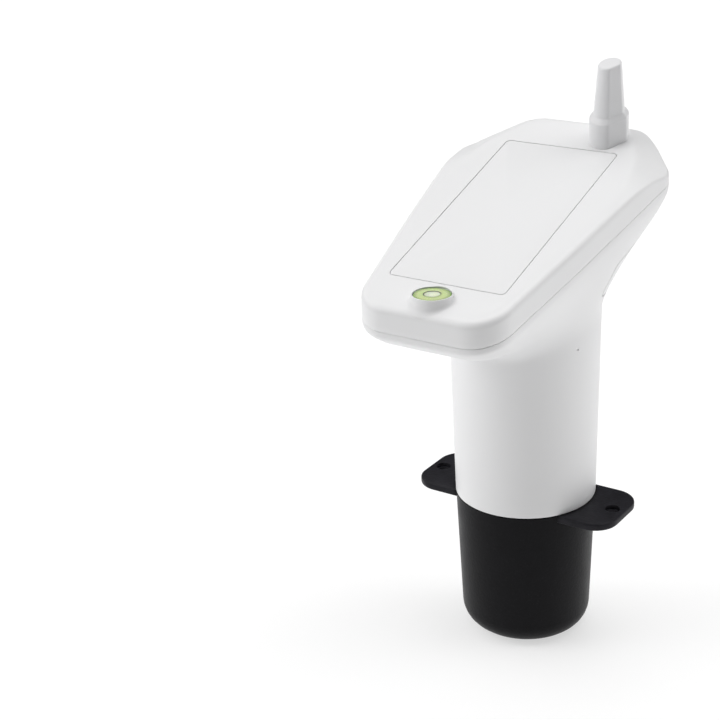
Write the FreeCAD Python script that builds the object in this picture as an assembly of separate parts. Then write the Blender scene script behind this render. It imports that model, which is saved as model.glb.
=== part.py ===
import FreeCAD, Part
import math
import os

# Ultrasonic level gauge for a tank: a black cup with two screw ears hangs in the tank's opening,
# a white tube stands on it and sweeps out into a sloping head with a lid, a level and an antenna.
# Millimetres. The origin is the centre of the ears' underside, where they meet the tank.
# +Z runs up the tube, -Y is the low front of the head, +X runs along the ears.

V = FreeCAD.Vector
UP = V(0, 0, 1)

# Mounting cup and its ears
EAR_THICKNESS = 3.0
EAR_REACH = 44.6
EAR_HALF_WIDTH = 16.6
EAR_CORNER_R = 10.0
EAR_EDGE_R = 0.5
SCREW_SPACING = 78.5
SCREW_HOLE_R = 2.1
SCREW_SINK_R = 3.1
SCREW_SINK_DEPTH = 1.3
CUP_TOP_R = 28.4
CUP_FOOT_R = 26.05
CUP_DEPTH = 57.8
CUP_EDGE_R = 10.0
CUP_WALL = 2.6
CUP_FLOOR = 6.0
SPIGOT_HEIGHT = 12.0
SPIGOT_WALL = 3.4

# White tube
TUBE_FOOT_R = 28.5
TUBE_DRAFT = 0.99
WALL = 2.2
FOOT_GAP = 0.2
VENT_R = 0.35
VENT_ANGLE = -18.8
VENT_HEIGHT = 72.5

# Head seen from above: right half of its rounded outline, from the nose to the tail
NOSE_Y = -77.4
NOSE_HALF = 28.9
NOSE_R = 15.0
WAIST_Y = -22.0
WAIST_HALF = 38.3
WAIST_R = 600.0
SHOULDER_Y = 31.2
SHOULDER_HALF = 45.9
SHOULDER_R = 8.0
TAIL_Y = 58.8
TAIL_HALF = 22.75
TAIL_R = 44.0

# Lid: its flat top slopes down to the nose, heights are straight down from that plane
TOP_HEIGHT = 129.26
TOP_TILT = 17.787
SEAM_DROP = 9.5
LIP_DEPTH = 2.5
LID_EDGE_R = 2.6
BEVEL_EDGE_R = 6.0

# Bevel round the tail of the lid: right half of its upper edge, and how far out it gets at the seam
BEVEL_START_Y = 10.0
BEVEL_START_HALF = 36.9
BEVEL_BEND_Y = 28.0
BEVEL_BEND_HALF = 33.0
BEVEL_BEND_R = 30.0
BEVEL_TAIL_Y = 48.0
BEVEL_TAIL_HALF = 20.5
BEVEL_TAIL_R = 10.0
BEVEL_START_RUN = 60.0
BEVEL_START_SWEEP = 20.0
BEVEL_SIDE_RUN = 17.0
BEVEL_TAIL_RUN = 13.2

# Neck under the head: depth below the top plane, and how far out from tube to lip it has come
NECK_PROFILE = ((12.0, 1.0), (16.5, 0.91), (24.5, 0.68), (34.0, 0.37), (42.0, 0.12),
                (48.0, 0.01), (53.0, 0.0))
OUTLINE_POINTS = 60

# Blank plate in the lid
PLATE_HALF = 24.5
PLATE_FRONT_Y = -59.4
PLATE_BACK_Y = 30.4
PLATE_CORNER_R = 3.0
PLATE_THICKNESS = 0.8
PLATE_GAP = 0.2

# Round level in the nose of the lid
LEVEL_Y = -67.85
LEVEL_TOP = 109.54
LEVEL_CUP_R = 8.2
VIAL_R = 7.4
VIAL_HEIGHT = 6.4
VIAL_WALL = 0.9
VIAL_ROOF = 1.1
VIAL_DOME_R = 60.0
BUBBLE_R = 3.1
BUBBLE_DEPTH = 1.0
FIT_GAP = 0.1

# Antenna stub: six-sided, radii to its corners
ANTENNA_X = 15.7
ANTENNA_Y = 39.3
COLLAR_R = 7.9
COLLAR_HEIGHT = 9.4
SHOULDER_HEIGHT = 1.8
MAST_FOOT_R = 6.6
MAST_TOP_R = 4.8
MAST_HEIGHT = 29.3
CREASE_R = 1.3
STEM_R = 4.4
STEM_GAP = 1.0
ROD_R = 0.9

# Lid screws, each square to the top plane: half spacing and place from front to back
LID_SCREW_PLACES = ((21.0, -65.0), (27.0, 37.0))
LID_SCREW_R = 1.4
LID_SCREW_HEAD_R = 2.7
LID_SCREW_HEAD = 2.0
LID_SCREW_LENGTH = 9.0
LID_SCREW_BRIDGE = 3.0
PAN_BOSS_R = 4.6
LID_BOSS_R = 3.0
WELL_R = 3.1

# Seal between lid and pan
SEAL_WIDTH = 0.9
SEAL_DEPTH = 0.8
SEAL_GAP = 0.05

# Main board, square to the top plane
BOARD_HALF = 22.0
BOARD_FRONT_Y = -52.0
BOARD_BACK_Y = 44.0
BOARD_DROP = 6.2
BOARD_THICKNESS = 1.6
BOARD_BOSS_HALF = 18.0
BOARD_BOSS_YS = (-46.0, 22.0)
BOARD_BOSS_R = 2.6
BOARD_CORNER_R = 2.0
BOARD_SCREW_R = 1.0
BOARD_SCREW_HEAD_R = 1.9
BOARD_SCREW_HEAD = 1.2
BOARD_SCREW_GRIP = 2.6
CHIP_CHAMFER = 0.3

# Battery tray and its two cells, lying across the neck and facing the door
TRAY_Y = 11.0
TRAY_Z = 104.5
TRAY_LEAN = 32.0
CELL_R = 7.2
CELL_LENGTH = 49.3
CELL_NUB_R = 2.7
CELL_NUB = 1.2
CELL_PITCH = 15.8
CELL_GAP = 0.3
CELL_EDGE = 0.6
TRAY_WALL = 1.6
TRAY_BACK = 9.2
TRAY_HALF = 36.0
CONTACT_ROOM = 2.2
CONTACT_THICKNESS = 0.4
CONTACT_HALF = 4.5
COIL_FOOT_R = 4.0
COIL_TOP_R = 2.2
SHELF_LENGTH = 11.0

# Pairing switch on the tray's lower shelf
SWITCH_X = 12.0
SWITCH_HALF = 3.0
SWITCH_HEIGHT = 3.4
SWITCH_FLOOR = 1.0
BUTTON_R = 1.75
BUTTON_RISE = 1.6
BUTTON_TRAVEL = 0.5
BUTTON_EDGE = 0.3
BUTTON_GAP = 0.3

# Battery door wrapped round the back of the neck: corners (y, z) of its outline from the side
DOOR_CORNERS = ((-1.3, 91.0), (3.6, 104.5), (80.0, 129.0), (80.0, 88.0))
DOOR_CORNER_R = 3.0
DOOR_SKIN = 1.2
DOOR_LEDGE = 2.0
DOOR_GAP = 0.3
DOOR_RIB_XS = (-18.0, -6.0, 6.0, 18.0)
DOOR_RIB_WIDTH = 1.2
DOOR_RIB_DEPTH = 2.8

# Sounder in the floor of the cup
SOUNDER_R = 10.5
SOUNDER_HEIGHT = 13.0
SOUNDER_FACE_R = 8.4
SOUNDER_FACE_DROP = 1.5
SOUNDER_BEVEL = 1.5
SLEEVE_R = 12.6
SLEEVE_LIP = 1.7
SLEEVE_FLOOR = 1.0
SLEEVE_SPARE = 0.5
SEAT_WALL = 2.4
MOUTH_R = 9.5
HORN_R = 13.0
HORN_DEPTH = 4.2
CLAMP_THICKNESS = 2.4
CLAMP_HOLE_R = 7.5
CLAMP_EARS = 3
CLAMP_SCREW_R = 1.1
CLAMP_SCREW_HEAD_R = 2.0
CLAMP_SCREW_HEAD = 1.4
CLAMP_SCREW_GRIP = 5.0
CLAMP_SCREW_LENGTH = 8.0
CLAMP_BOSS_R = 3.0

# Ring seal round the cup's spigot
RING_R = 1.0
RING_HEIGHT = 9.0
RING_SIDES = 8

# Lead from the sounder to the board
LEAD_R = 1.5
LEAD_FOOT_Y = -4.0
LEAD_Y = -16.0
SOCKET_HALF = 4.0
SOCKET_HEIGHT = 5.0
LEAD_LOW = 18.0
LEAD_HIGH = 48.0
LEAD_BEND_R = 45.0
LEAD_PLUG = 1.4

SLOPE = math.tan(math.radians(TOP_TILT))
FAR = 400.0
OVER = 1.0
INSIDE_R = TUBE_FOOT_R - WALL
CELL_SOCKET_R = CELL_R + CELL_GAP
CELL_ROOM = CELL_LENGTH / 2 + CELL_NUB + CONTACT_ROOM


def top_z(y):
    """Height of the lid's top plane above a place from front to back."""
    return TOP_HEIGHT + SLOPE * y


def tube_r(z):
    """Outer radius of the tapered tube at a height."""
    return TUBE_FOOT_R + math.tan(math.radians(TUBE_DRAFT)) * (z - EAR_THICKNESS)


def rounded(corners, radii, closed=True):
    """Wire through corner points, with each corner rounded by its own radius."""
    count = len(corners)
    turns = range(count) if closed else range(1, count - 1)
    arcs = []
    for i in turns:
        here = corners[i]
        if radii[i] == 0:
            arcs.append((here, None, here))
            continue
        before = (corners[i - 1] - here).normalize()
        after = (corners[(i + 1) % count] - here).normalize()
        half = before.getAngle(after) / 2
        cut = radii[i] / math.tan(half)
        middle = here + (before + after).normalize() * (radii[i] / math.sin(half) - radii[i])
        arcs.append((here + before * cut, middle, here + after * cut))
    edges = []
    if not closed:
        edges.append(Part.makeLine(corners[0], arcs[0][0]))
    for i, arc in enumerate(arcs):
        if arc[1] is not None:
            edges.append(Part.Arc(*arc).toShape())
        if i + 1 < len(arcs):
            edges.append(Part.makeLine(arc[2], arcs[i + 1][0]))
    last = arcs[0][0] if closed else corners[-1]
    edges.append(Part.makeLine(arcs[-1][2], last))
    return Part.Wire(edges)


def mirrored(half):
    """Closed outline points and radii from the right half, nose first."""
    right = [V(x, y, 0) for x, y, r in half]
    left = [V(-x, y, 0) for x, y, r in reversed(half)]
    sizes = [r for x, y, r in half]
    return right + left, sizes + sizes[::-1]


def head_outline(inset=0.0):
    """Outline of the head, seen from above."""
    half = ((NOSE_HALF, NOSE_Y, NOSE_R), (WAIST_HALF, WAIST_Y, WAIST_R),
            (SHOULDER_HALF, SHOULDER_Y, SHOULDER_R), (TAIL_HALF, TAIL_Y, TAIL_R))
    wire = rounded(*mirrored(half))
    return wire.makeOffset2D(-inset) if inset else wire


def column(wire, low=0.0, high=FAR):
    """Upright solid on a level outline."""
    return Part.Face(wire).extrude(UP * (high - low)).translated(UP * low)


def slab(low_drop, high_drop):
    """Everything between two planes that lie parallel to the lid's top, by depth under it."""
    points = []
    for y, drop in ((-FAR, low_drop), (FAR, low_drop), (FAR, high_drop), (-FAR, high_drop)):
        points.append(V(-FAR, y, top_z(y) - drop))
    return Part.Face(Part.makePolygon(points + points[:1])).extrude(V(2 * FAR, 0, 0))


def laid(wire, drop):
    """A level wire moved straight up or down on to a plane parallel to the lid's top."""
    shear = FreeCAD.Matrix()
    shear.A32 = SLOPE
    shear.A34 = TOP_HEIGHT - drop
    return wire.transformGeometry(shear)


def square_on(shape, x, y, drop):
    """Move a shape built along +Z on to the axis that is square to the lid's top at a place."""
    turn = FreeCAD.Rotation(V(1, 0, 0), TOP_TILT)
    depth = turn.multVec(UP) * (drop * math.cos(math.radians(TOP_TILT)))
    shape.Placement = FreeCAD.Placement(V(x, y, top_z(y)) - depth, turn)
    return shape


def cylinder(r, low, high, x=0.0, y=0.0):
    """Upright cylinder between two heights."""
    return Part.makeCylinder(r, high - low, V(x, y, low))


def block(x_half, y_low, y_high, z_low, z_high):
    """Box that is centred from side to side."""
    return Part.makeBox(2 * x_half, y_high - y_low, z_high - z_low, V(-x_half, y_low, z_low))


def turned(points):
    """Solid of revolution round Z from points (radius, height)."""
    wire = Part.makePolygon([V(r, 0, z) for r, z in points + points[:1]])
    return Part.Face(wire).revolve(V(0, 0, 0), UP, 360)


def prism_of(sides, r, low, high):
    """Upright prism with equal sides, by the radius of its corners."""
    angles = [2 * math.pi * i / sides for i in range(sides)]
    corners = [V(r * math.cos(a), r * math.sin(a), 0) for a in angles]
    return column(Part.makePolygon(corners + corners[:1]), low, high)


def both_sides(places):
    """Left and right places from half spacings."""
    return [(side * x, y) for x, y in places for side in (1, -1)]


def neck_curve(drop, share, inset):
    """Closed curve round the neck: share 0 lies on the tube and share 1 on the lip."""
    points = []
    for p in head_outline().discretize(Number=OUTLINE_POINTS + 1)[:-1]:
        angle = math.atan2(p.y, p.x)
        near = tube_r(top_z(TUBE_FOOT_R * math.sin(angle)) - drop) - inset
        reach = near + share * (math.hypot(p.x, p.y) - inset - near)
        y = reach * math.sin(angle)
        points.append(V(reach * math.cos(angle), y, top_z(y) - drop))
    curve = Part.BSplineCurve()
    curve.interpolate(Points=points, PeriodicFlag=True)
    return Part.Wire(curve.toShape())


def foot_curve(z, inset):
    """Closed curve round the tube's foot, with the same starts as the neck's curves."""
    r = tube_r(z) - inset
    points = []
    for p in head_outline().discretize(Number=OUTLINE_POINTS + 1)[:-1]:
        angle = math.atan2(p.y, p.x)
        points.append(V(r * math.cos(angle), r * math.sin(angle), z))
    curve = Part.BSplineCurve()
    curve.interpolate(Points=points, PeriodicFlag=True)
    return Part.Wire(curve.toShape())


def body_form(inset, foot_z, rise):
    """Tube, neck and lip as one solid form, drawn in by an inset on every side."""
    curves = [neck_curve(drop - inset, share, inset) for drop, share in NECK_PROFILE]
    neck = Part.makeLoft(curves, True, False)
    tube = Part.makeLoft([curves[-1], foot_curve(foot_z, inset)], True, True)
    lip = Part.Face(curves[0]).extrude(UP * rise)
    return neck.fuse([tube, lip])


def door_window(grow):
    """Prism across the back of the neck, in the door's outline as seen from the side."""
    wire = rounded([V(0, y, z) for y, z in DOOR_CORNERS], [DOOR_CORNER_R] * 4)
    if grow:
        wire = wire.makeOffset2D(grow)
    return Part.Face(wire).extrude(V(FAR, 0, 0)).translated(V(-FAR / 2, 0, 0))


def square_drop(distance):
    """Depth straight down that equals a distance measured square to the lid's top."""
    return distance / math.cos(math.radians(TOP_TILT))


def at_lid_screws(shape, drop):
    """A copy of a shape at each lid screw, square to the lid's top."""
    return [square_on(shape.copy(), x, y, drop) for x, y in both_sides(LID_SCREW_PLACES)]


def hung(r, length):
    """Cylinder that hangs down from height 0."""
    return cylinder(r, -length, 0.0)


def make_lower_housing(outer, rebate, inner):
    """Tube, neck and pan in one moulding, with screw bosses and the door's rebate."""
    bosses = [b.common(outer) for b in at_lid_screws(hung(PAN_BOSS_R, FAR / 4), SEAM_DROP)]
    shell = outer.cut(inner).fuse(bosses).common(slab(FAR, SEAM_DROP))
    cuts = at_lid_screws(hung(WELL_R, FAR / 4), SEAM_DROP + square_drop(LID_SCREW_BRIDGE))
    cuts += at_lid_screws(hung(LID_SCREW_R + FIT_GAP, FAR / 8), SEAM_DROP - OVER)
    cuts.append(door_window(0.0).cut(rebate))
    cuts.append(door_window(-DOOR_LEDGE))
    cuts.append(seal_ring(0.0))
    direction = V(math.cos(math.radians(VENT_ANGLE)), math.sin(math.radians(VENT_ANGLE)), 0)
    cuts.append(Part.makeCylinder(VENT_R, FAR, V(0, 0, VENT_HEIGHT), direction))
    return shell.cut(cuts)


def seal_ring(gap):
    """Ring that lies in the pan's rim, half way through the wall."""
    start = (WALL - SEAL_WIDTH) / 2
    outside = column(head_outline(start + gap))
    inside = column(head_outline(start + SEAL_WIDTH - gap))
    return outside.cut(inside).common(slab(SEAM_DROP + SEAL_DEPTH - gap, SEAM_DROP))


def make_battery_door(outer, panel_inside):
    """Curved door flush with the neck, stiffened by upright ribs inside."""
    panel = outer.cut(panel_inside).common(door_window(-DOOR_GAP))
    layer = outer.cut(outer.translated(V(0, -DOOR_RIB_DEPTH, 0)))
    layer = layer.common(door_window(-DOOR_LEDGE - DOOR_GAP))
    ribs = [layer.common(block(DOOR_RIB_WIDTH / 2, 0, FAR, 0, FAR).translated(V(x, 0, 0)))
            for x in DOOR_RIB_XS]
    return panel.fuse(ribs)


def bevel_form(lower):
    """Form whose sides are the bevel round the tail, lowered to follow a wall's inside."""
    reach = FAR / 4
    bend = BEVEL_BEND_R
    top = ((BEVEL_START_HALF, -reach, 0), (BEVEL_START_HALF, BEVEL_START_Y, bend),
           (BEVEL_BEND_HALF, BEVEL_BEND_Y, bend), (BEVEL_TAIL_HALF, BEVEL_TAIL_Y, BEVEL_TAIL_R))
    start, side, tail = BEVEL_START_RUN, BEVEL_SIDE_RUN, BEVEL_TAIL_RUN
    foot = ((BEVEL_START_HALF + start, -reach, 0),
            (BEVEL_START_HALF + start, BEVEL_START_Y - BEVEL_START_SWEEP, bend),
            (BEVEL_BEND_HALF + side, BEVEL_BEND_Y + tail / 1.5, bend),
            (BEVEL_TAIL_HALF + tail, BEVEL_TAIL_Y + tail, BEVEL_TAIL_R))
    rims = [laid(rounded(*mirrored(half)), drop + lower) for half, drop in ((top, 0.0), (foot, SEAM_DROP))]
    return Part.makeLoft(rims, True, True)


def top_rim(solid):
    """Edges that lie in the plane of the lid's flat top."""
    return [e for e in solid.Edges if all(abs(v.Z - top_z(v.Y)) < 0.01 for v in e.Vertexes)]


def lid_block():
    """The lid as a solid block, with its rim and the bevel's upper edge rounded."""
    prism = column(head_outline()).common(slab(SEAM_DROP, 0.0))
    bevel = bevel_form(0.0)
    crease = [e for e in top_rim(bevel) if max(v.Y for v in e.Vertexes) > BEVEL_START_Y]
    return prism.makeFillet(LID_EDGE_R, top_rim(prism)).common(bevel.makeFillet(BEVEL_EDGE_R, crease))


def lid_hollow():
    """The space inside the lid, one wall in from its outside and open below."""
    low = slab(SEAM_DROP + OVER, square_drop(WALL))
    return column(head_outline(WALL)).common(low).common(bevel_form(square_drop(WALL)))


def plate_prism(gap, low_drop, high_drop):
    """Rounded rectangle of the blank plate between two depths."""
    half = PLATE_HALF - gap
    front = PLATE_FRONT_Y + gap
    back = PLATE_BACK_Y - gap
    corners = [V(half, front, 0), V(half, back, 0), V(-half, back, 0), V(-half, front, 0)]
    wire = rounded(corners, [PLATE_CORNER_R - gap] * 4)
    return column(wire).common(slab(low_drop, high_drop))


def lid_boss_length():
    """Length of a lid boss, from the seam up into the lid's wall."""
    return (SEAM_DROP - square_drop(WALL) / 2) * math.cos(math.radians(TOP_TILT))


def board_post_length():
    """Length of a board post, from the board up into the lid's wall."""
    return (BOARD_DROP - square_drop(WALL) / 2) * math.cos(math.radians(TOP_TILT))


def make_top_cover():
    """Lid with its level holder, plate recess, screw bosses and board posts."""
    holder = cylinder(LEVEL_CUP_R, LEVEL_TOP - VIAL_HEIGHT - 2 * WALL, LEVEL_TOP, 0, LEVEL_Y)
    bosses = at_lid_screws(cylinder(LID_BOSS_R, 0.0, lid_boss_length()), SEAM_DROP)
    posts = at_board_posts(cylinder(BOARD_BOSS_R, 0.0, board_post_length()), BOARD_DROP)
    solid = lid_block().cut(lid_hollow()).fuse([holder] + bosses + posts)
    cuts = at_lid_screws(cylinder(LID_SCREW_R, -OVER, LID_SCREW_LENGTH - LID_SCREW_BRIDGE), SEAM_DROP)
    cuts += at_board_posts(cylinder(BOARD_SCREW_R, -OVER, BOARD_SCREW_GRIP), BOARD_DROP)
    cuts.append(plate_prism(0.0, PLATE_THICKNESS, -OVER))
    cuts.append(cylinder(VIAL_R + FIT_GAP, LEVEL_TOP - VIAL_HEIGHT, FAR, 0, LEVEL_Y))
    cuts.append(cylinder(STEM_R + FIT_GAP, TOP_HEIGHT - SEAM_DROP, FAR, ANTENNA_X, ANTENNA_Y))
    return solid.cut(cuts)


def at_board_posts(shape, drop):
    """A copy of a shape at each of the four posts that the board is screwed to."""
    places = both_sides([(BOARD_BOSS_HALF, y) for y in BOARD_BOSS_YS])
    return [square_on(shape.copy(), x, y, drop) for x, y in places]


def make_screw(shank_r, length, head_r, head):
    """Screw that points up, with its head's seat at height 0 and a six-sided drive socket."""
    bevel = head / 3
    body = turned([(0, -head), (head_r - bevel, -head), (head_r, -head + bevel), (head_r, 0),
                   (shank_r, 0), (shank_r, length), (0, length)])
    return body.cut(prism_of(6, head_r / 2, -head - OVER, -head / 2))


def make_lid_screws():
    """Screws from under the pan into the lid."""
    screw = make_screw(LID_SCREW_R, LID_SCREW_LENGTH, LID_SCREW_HEAD_R, LID_SCREW_HEAD)
    return Part.makeCompound(at_lid_screws(screw, SEAM_DROP + square_drop(LID_SCREW_BRIDGE)))


def make_vial():
    """Clear vial, open below, with a slightly domed top."""
    base = LEVEL_TOP - VIAL_HEIGHT
    outside = cylinder(VIAL_R, base, LEVEL_TOP + OVER, 0, LEVEL_Y)
    dome = Part.makeSphere(VIAL_DOME_R, V(0, LEVEL_Y, LEVEL_TOP - VIAL_DOME_R))
    hollow = cylinder(VIAL_R - VIAL_WALL, base, LEVEL_TOP - VIAL_ROOF, 0, LEVEL_Y)
    return outside.common(dome).cut(hollow)


def make_fluid():
    """Fluid that fills the vial, with the bubble's hollow under its roof."""
    base = LEVEL_TOP - VIAL_HEIGHT
    ceiling = LEVEL_TOP - VIAL_ROOF
    fill = cylinder(VIAL_R - VIAL_WALL, base, ceiling, 0, LEVEL_Y)
    ball_r = (BUBBLE_R ** 2 + BUBBLE_DEPTH ** 2) / (2 * BUBBLE_DEPTH)
    return fill.cut(Part.makeSphere(ball_r, V(0, LEVEL_Y, ceiling + ball_r - BUBBLE_DEPTH)))


def hexagon(r, drop):
    """Six-sided section of the antenna with softened corners, parallel to the lid's top."""
    corners = []
    for i in range(6):
        angle = math.radians(60 * i)
        corners.append(V(ANTENNA_X + r * math.cos(angle), ANTENNA_Y + r * math.sin(angle), 0))
    return laid(rounded(corners, [CREASE_R] * 6), drop)


def make_antenna_cap():
    """Collar, shoulder and tapered mast, with a stem through the lid and a bore for the rod."""
    levels = ((COLLAR_R, 0.0), (COLLAR_R, COLLAR_HEIGHT), (MAST_FOOT_R, COLLAR_HEIGHT + SHOULDER_HEIGHT),
              (MAST_TOP_R, MAST_HEIGHT))
    stub = Part.makeLoft([hexagon(r, -height) for r, height in levels], True, True)
    stem = cylinder(STEM_R, 0.0, FAR, ANTENNA_X, ANTENNA_Y)
    stem = stem.common(slab(BOARD_DROP - STEM_GAP, -COLLAR_HEIGHT / 2))
    bore = cylinder(ROD_R + FIT_GAP, 0.0, top_z(ANTENNA_Y) + MAST_HEIGHT - 2 * WALL, ANTENNA_X, ANTENNA_Y)
    return stub.fuse(stem).cut(bore)


def make_antenna_rod():
    """Conductor soldered to the board and standing in the stub."""
    rod = cylinder(ROD_R, 0.0, top_z(ANTENNA_Y) + MAST_HEIGHT - 3 * WALL, ANTENNA_X, ANTENNA_Y)
    return rod.common(slab(BOARD_DROP, -FAR / 4))


def make_main_board():
    """Rectangular board, drilled for its screws."""
    corners = [V(BOARD_HALF, BOARD_FRONT_Y, 0), V(BOARD_HALF, BOARD_BACK_Y, 0),
               V(-BOARD_HALF, BOARD_BACK_Y, 0), V(-BOARD_HALF, BOARD_FRONT_Y, 0)]
    plate = column(rounded(corners, [BOARD_CORNER_R] * 4))
    plate = plate.common(slab(BOARD_DROP + square_drop(BOARD_THICKNESS), BOARD_DROP))
    reach = BOARD_THICKNESS + OVER
    return plate.cut(at_board_posts(cylinder(BOARD_SCREW_R + FIT_GAP, -reach, reach), BOARD_DROP))


def under_board(shape, x, y):
    """Place a shape, built downwards from height 0, against the board's underside."""
    return square_on(shape, x, y, BOARD_DROP + square_drop(BOARD_THICKNESS))


def make_board_screws():
    """Small screws that hold the board to the lid's posts."""
    screw = make_screw(BOARD_SCREW_R, BOARD_THICKNESS + BOARD_SCREW_GRIP, BOARD_SCREW_HEAD_R, BOARD_SCREW_HEAD)
    return Part.makeCompound(at_board_posts(screw, BOARD_DROP + square_drop(BOARD_THICKNESS)))


def chip(x_half, y_half, height):
    """Package with softened upper corners, hanging from height 0."""
    body = block(x_half, -y_half, y_half, -height, 0)
    rim = [e for e in body.Edges if abs(e.BoundBox.ZMax + height) < 0.01]
    return body.makeChamfer(CHIP_CHAMFER, rim)


def on_tray(shape, x, along, out):
    """Move a shape from tray axes: x across, along down the tray, out towards the door."""
    turn = FreeCAD.Rotation(V(1, 0, 0), -90 - TRAY_LEAN)
    place = V(0, TRAY_Y, TRAY_Z) + turn.multVec(V(x, along, out))
    shape.Placement = FreeCAD.Placement(place, turn).multiply(shape.Placement)
    return shape


def along_x(r, low, high):
    """Cylinder lying across the tray."""
    return Part.makeCylinder(r, high - low, V(low, 0, 0), V(1, 0, 0))


def make_battery_tray(inner):
    """Tray with a half-round bed for each cell and a shelf for the switch, cut to fit the neck."""
    tall = CELL_PITCH / 2 + CELL_SOCKET_R + TRAY_WALL
    body = on_tray(block(TRAY_HALF, -tall, tall, -TRAY_BACK, 0), 0, 0, 0)
    shelf = on_tray(block(TRAY_HALF, 0, tall + SHELF_LENGTH, -TRAY_BACK, -TRAY_BACK + 2 * TRAY_WALL), 0, 0, 0)
    beds = [on_tray(along_x(CELL_SOCKET_R, -CELL_ROOM, CELL_ROOM), 0, side * CELL_PITCH / 2, 0)
            for side in (1, -1)]
    return body.fuse(shelf).common(inner).cut(beds)


def make_cell(side):
    """Round battery cell with its nub towards one end."""
    half = CELL_LENGTH / 2
    cell = turned([(0, -half), (CELL_R - CELL_EDGE, -half), (CELL_R, -half + CELL_EDGE),
                   (CELL_R, half - CELL_EDGE), (CELL_R - CELL_EDGE, half), (CELL_NUB_R, half),
                   (CELL_NUB_R, half + CELL_NUB), (0, half + CELL_NUB)])
    cell.rotate(V(0, 0, 0), V(0, 1, 0), 90 * side)
    return on_tray(cell, 0, side * CELL_PITCH / 2, 0)


def contact_plate():
    """Square spring-steel plate, thin across the tray."""
    return Part.makeBox(CONTACT_THICKNESS, 2 * CONTACT_HALF, 2 * CONTACT_HALF,
                        V(0, -CONTACT_HALF, -CONTACT_HALF))


def make_contact_plates():
    """Flat contacts at the nub end of each cell."""
    plates = []
    for side in (1, -1):
        end = side * (CELL_ROOM - CONTACT_THICKNESS / 2) - CONTACT_THICKNESS / 2
        plates.append(on_tray(contact_plate(), end, side * CELL_PITCH / 2, 0))
    return Part.makeCompound(plates)


def make_contact_springs():
    """Wound contacts at the flat end of each cell, each on its own plate."""
    length = CELL_ROOM - CONTACT_THICKNESS - CELL_LENGTH / 2
    springs = []
    for side in (1, -1):
        end = -side * (CELL_ROOM - CONTACT_THICKNESS / 2) - CONTACT_THICKNESS / 2
        plate = contact_plate().translated(V(end, 0, 0))
        coil = Part.makeCone(COIL_FOOT_R, COIL_TOP_R, length, V(-side * (CELL_ROOM - CONTACT_THICKNESS), 0, 0),
                             V(side, 0, 0))
        springs.append(on_tray(plate.fuse(coil), 0, side * CELL_PITCH / 2, 0))
    return Part.makeCompound(springs)


def shelf_top():
    """Height of the shelf's face in tray axes."""
    return -TRAY_BACK + 2 * TRAY_WALL


def switch_place():
    """Distance of the switch down the tray."""
    return CELL_PITCH / 2 + CELL_SOCKET_R + TRAY_WALL + SHELF_LENGTH / 2


def make_switch_body():
    """Square switch on the tray's shelf, bored for its button."""
    body = block(SWITCH_HALF, -SWITCH_HALF, SWITCH_HALF, 0, SWITCH_HEIGHT)
    body = body.cut(cylinder(BUTTON_R + BUTTON_GAP, SWITCH_FLOOR, SWITCH_HEIGHT + OVER))
    return on_tray(body, SWITCH_X, switch_place(), shelf_top())


def make_pair_button():
    """Round button that stands in the switch, clear of its floor by the travel."""
    low = SWITCH_FLOOR + BUTTON_TRAVEL + FIT_GAP
    high = SWITCH_HEIGHT + BUTTON_RISE
    button = turned([(0, low), (BUTTON_R, low), (BUTTON_R, high - BUTTON_EDGE), (BUTTON_R - BUTTON_EDGE, high),
                     (0, high)])
    return on_tray(button, SWITCH_X, switch_place(), shelf_top())


def ear_outline():
    """Rounded rectangle that both ears are part of."""
    corners = [V(EAR_REACH, -EAR_HALF_WIDTH, 0), V(EAR_REACH, EAR_HALF_WIDTH, 0),
               V(-EAR_REACH, EAR_HALF_WIDTH, 0), V(-EAR_REACH, -EAR_HALF_WIDTH, 0)]
    return rounded(corners, [EAR_CORNER_R] * 4)


def seat_top():
    """Height of the rim that the clamp ring sits on."""
    return -CUP_DEPTH + CUP_FLOOR + SLEEVE_FLOOR + SOUNDER_HEIGHT


def clamp_places():
    """Places of the clamp's screws round the sounder."""
    reach = SLEEVE_R + SEAT_WALL
    return [(reach * math.cos(a), reach * math.sin(a))
            for a in [math.radians(90 + 360 * i / CLAMP_EARS) for i in range(CLAMP_EARS)]]


def cup_outside():
    """Tapered cup as a solid form, with a round edge at its foot."""
    low = -CUP_DEPTH
    form = turned([(0, low), (CUP_FOOT_R, low), (CUP_TOP_R, EAR_THICKNESS), (0, EAR_THICKNESS)])
    foot = [e for e in form.Edges if abs(e.BoundBox.ZMax - low) < 0.01 and e.Length > CUP_FOOT_R * 6]
    return form.makeFillet(CUP_EDGE_R, foot)


def cup_hollow():
    """Space inside the cup and its spigot, narrower at the foot and open above."""
    low = -CUP_DEPTH + CUP_FLOOR
    foot_r = CUP_FOOT_R - CUP_WALL
    top_r = spigot_r() - SPIGOT_WALL
    return turned([(0, low), (foot_r - CUP_EDGE_R / 2, low), (foot_r, -CUP_DEPTH + CUP_EDGE_R),
                   (top_r, 0.0), (top_r, FAR), (0, FAR)])


def ears_plate():
    """Flat plate with both ears, its edges softened."""
    plate = column(ear_outline(), 0.0, EAR_THICKNESS)
    rims = [e for e in plate.Edges if abs(e.BoundBox.ZMin - e.BoundBox.ZMax) < 0.01]
    return plate.makeFillet(EAR_EDGE_R, rims)


def spigot_r():
    """Outer radius of the spigot that goes up inside the tube."""
    return INSIDE_R - FIT_GAP


def sounder_mouth():
    """Round mouth under the sounder that widens downwards like a horn."""
    low = -CUP_DEPTH
    flare = (HORN_R - MOUTH_R) / HORN_DEPTH
    return turned([(0, low - OVER), (HORN_R + flare * OVER, low - OVER), (MOUTH_R, low + HORN_DEPTH),
                   (MOUTH_R, low + CUP_FLOOR + OVER), (0, low + CUP_FLOOR + OVER)])


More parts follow.
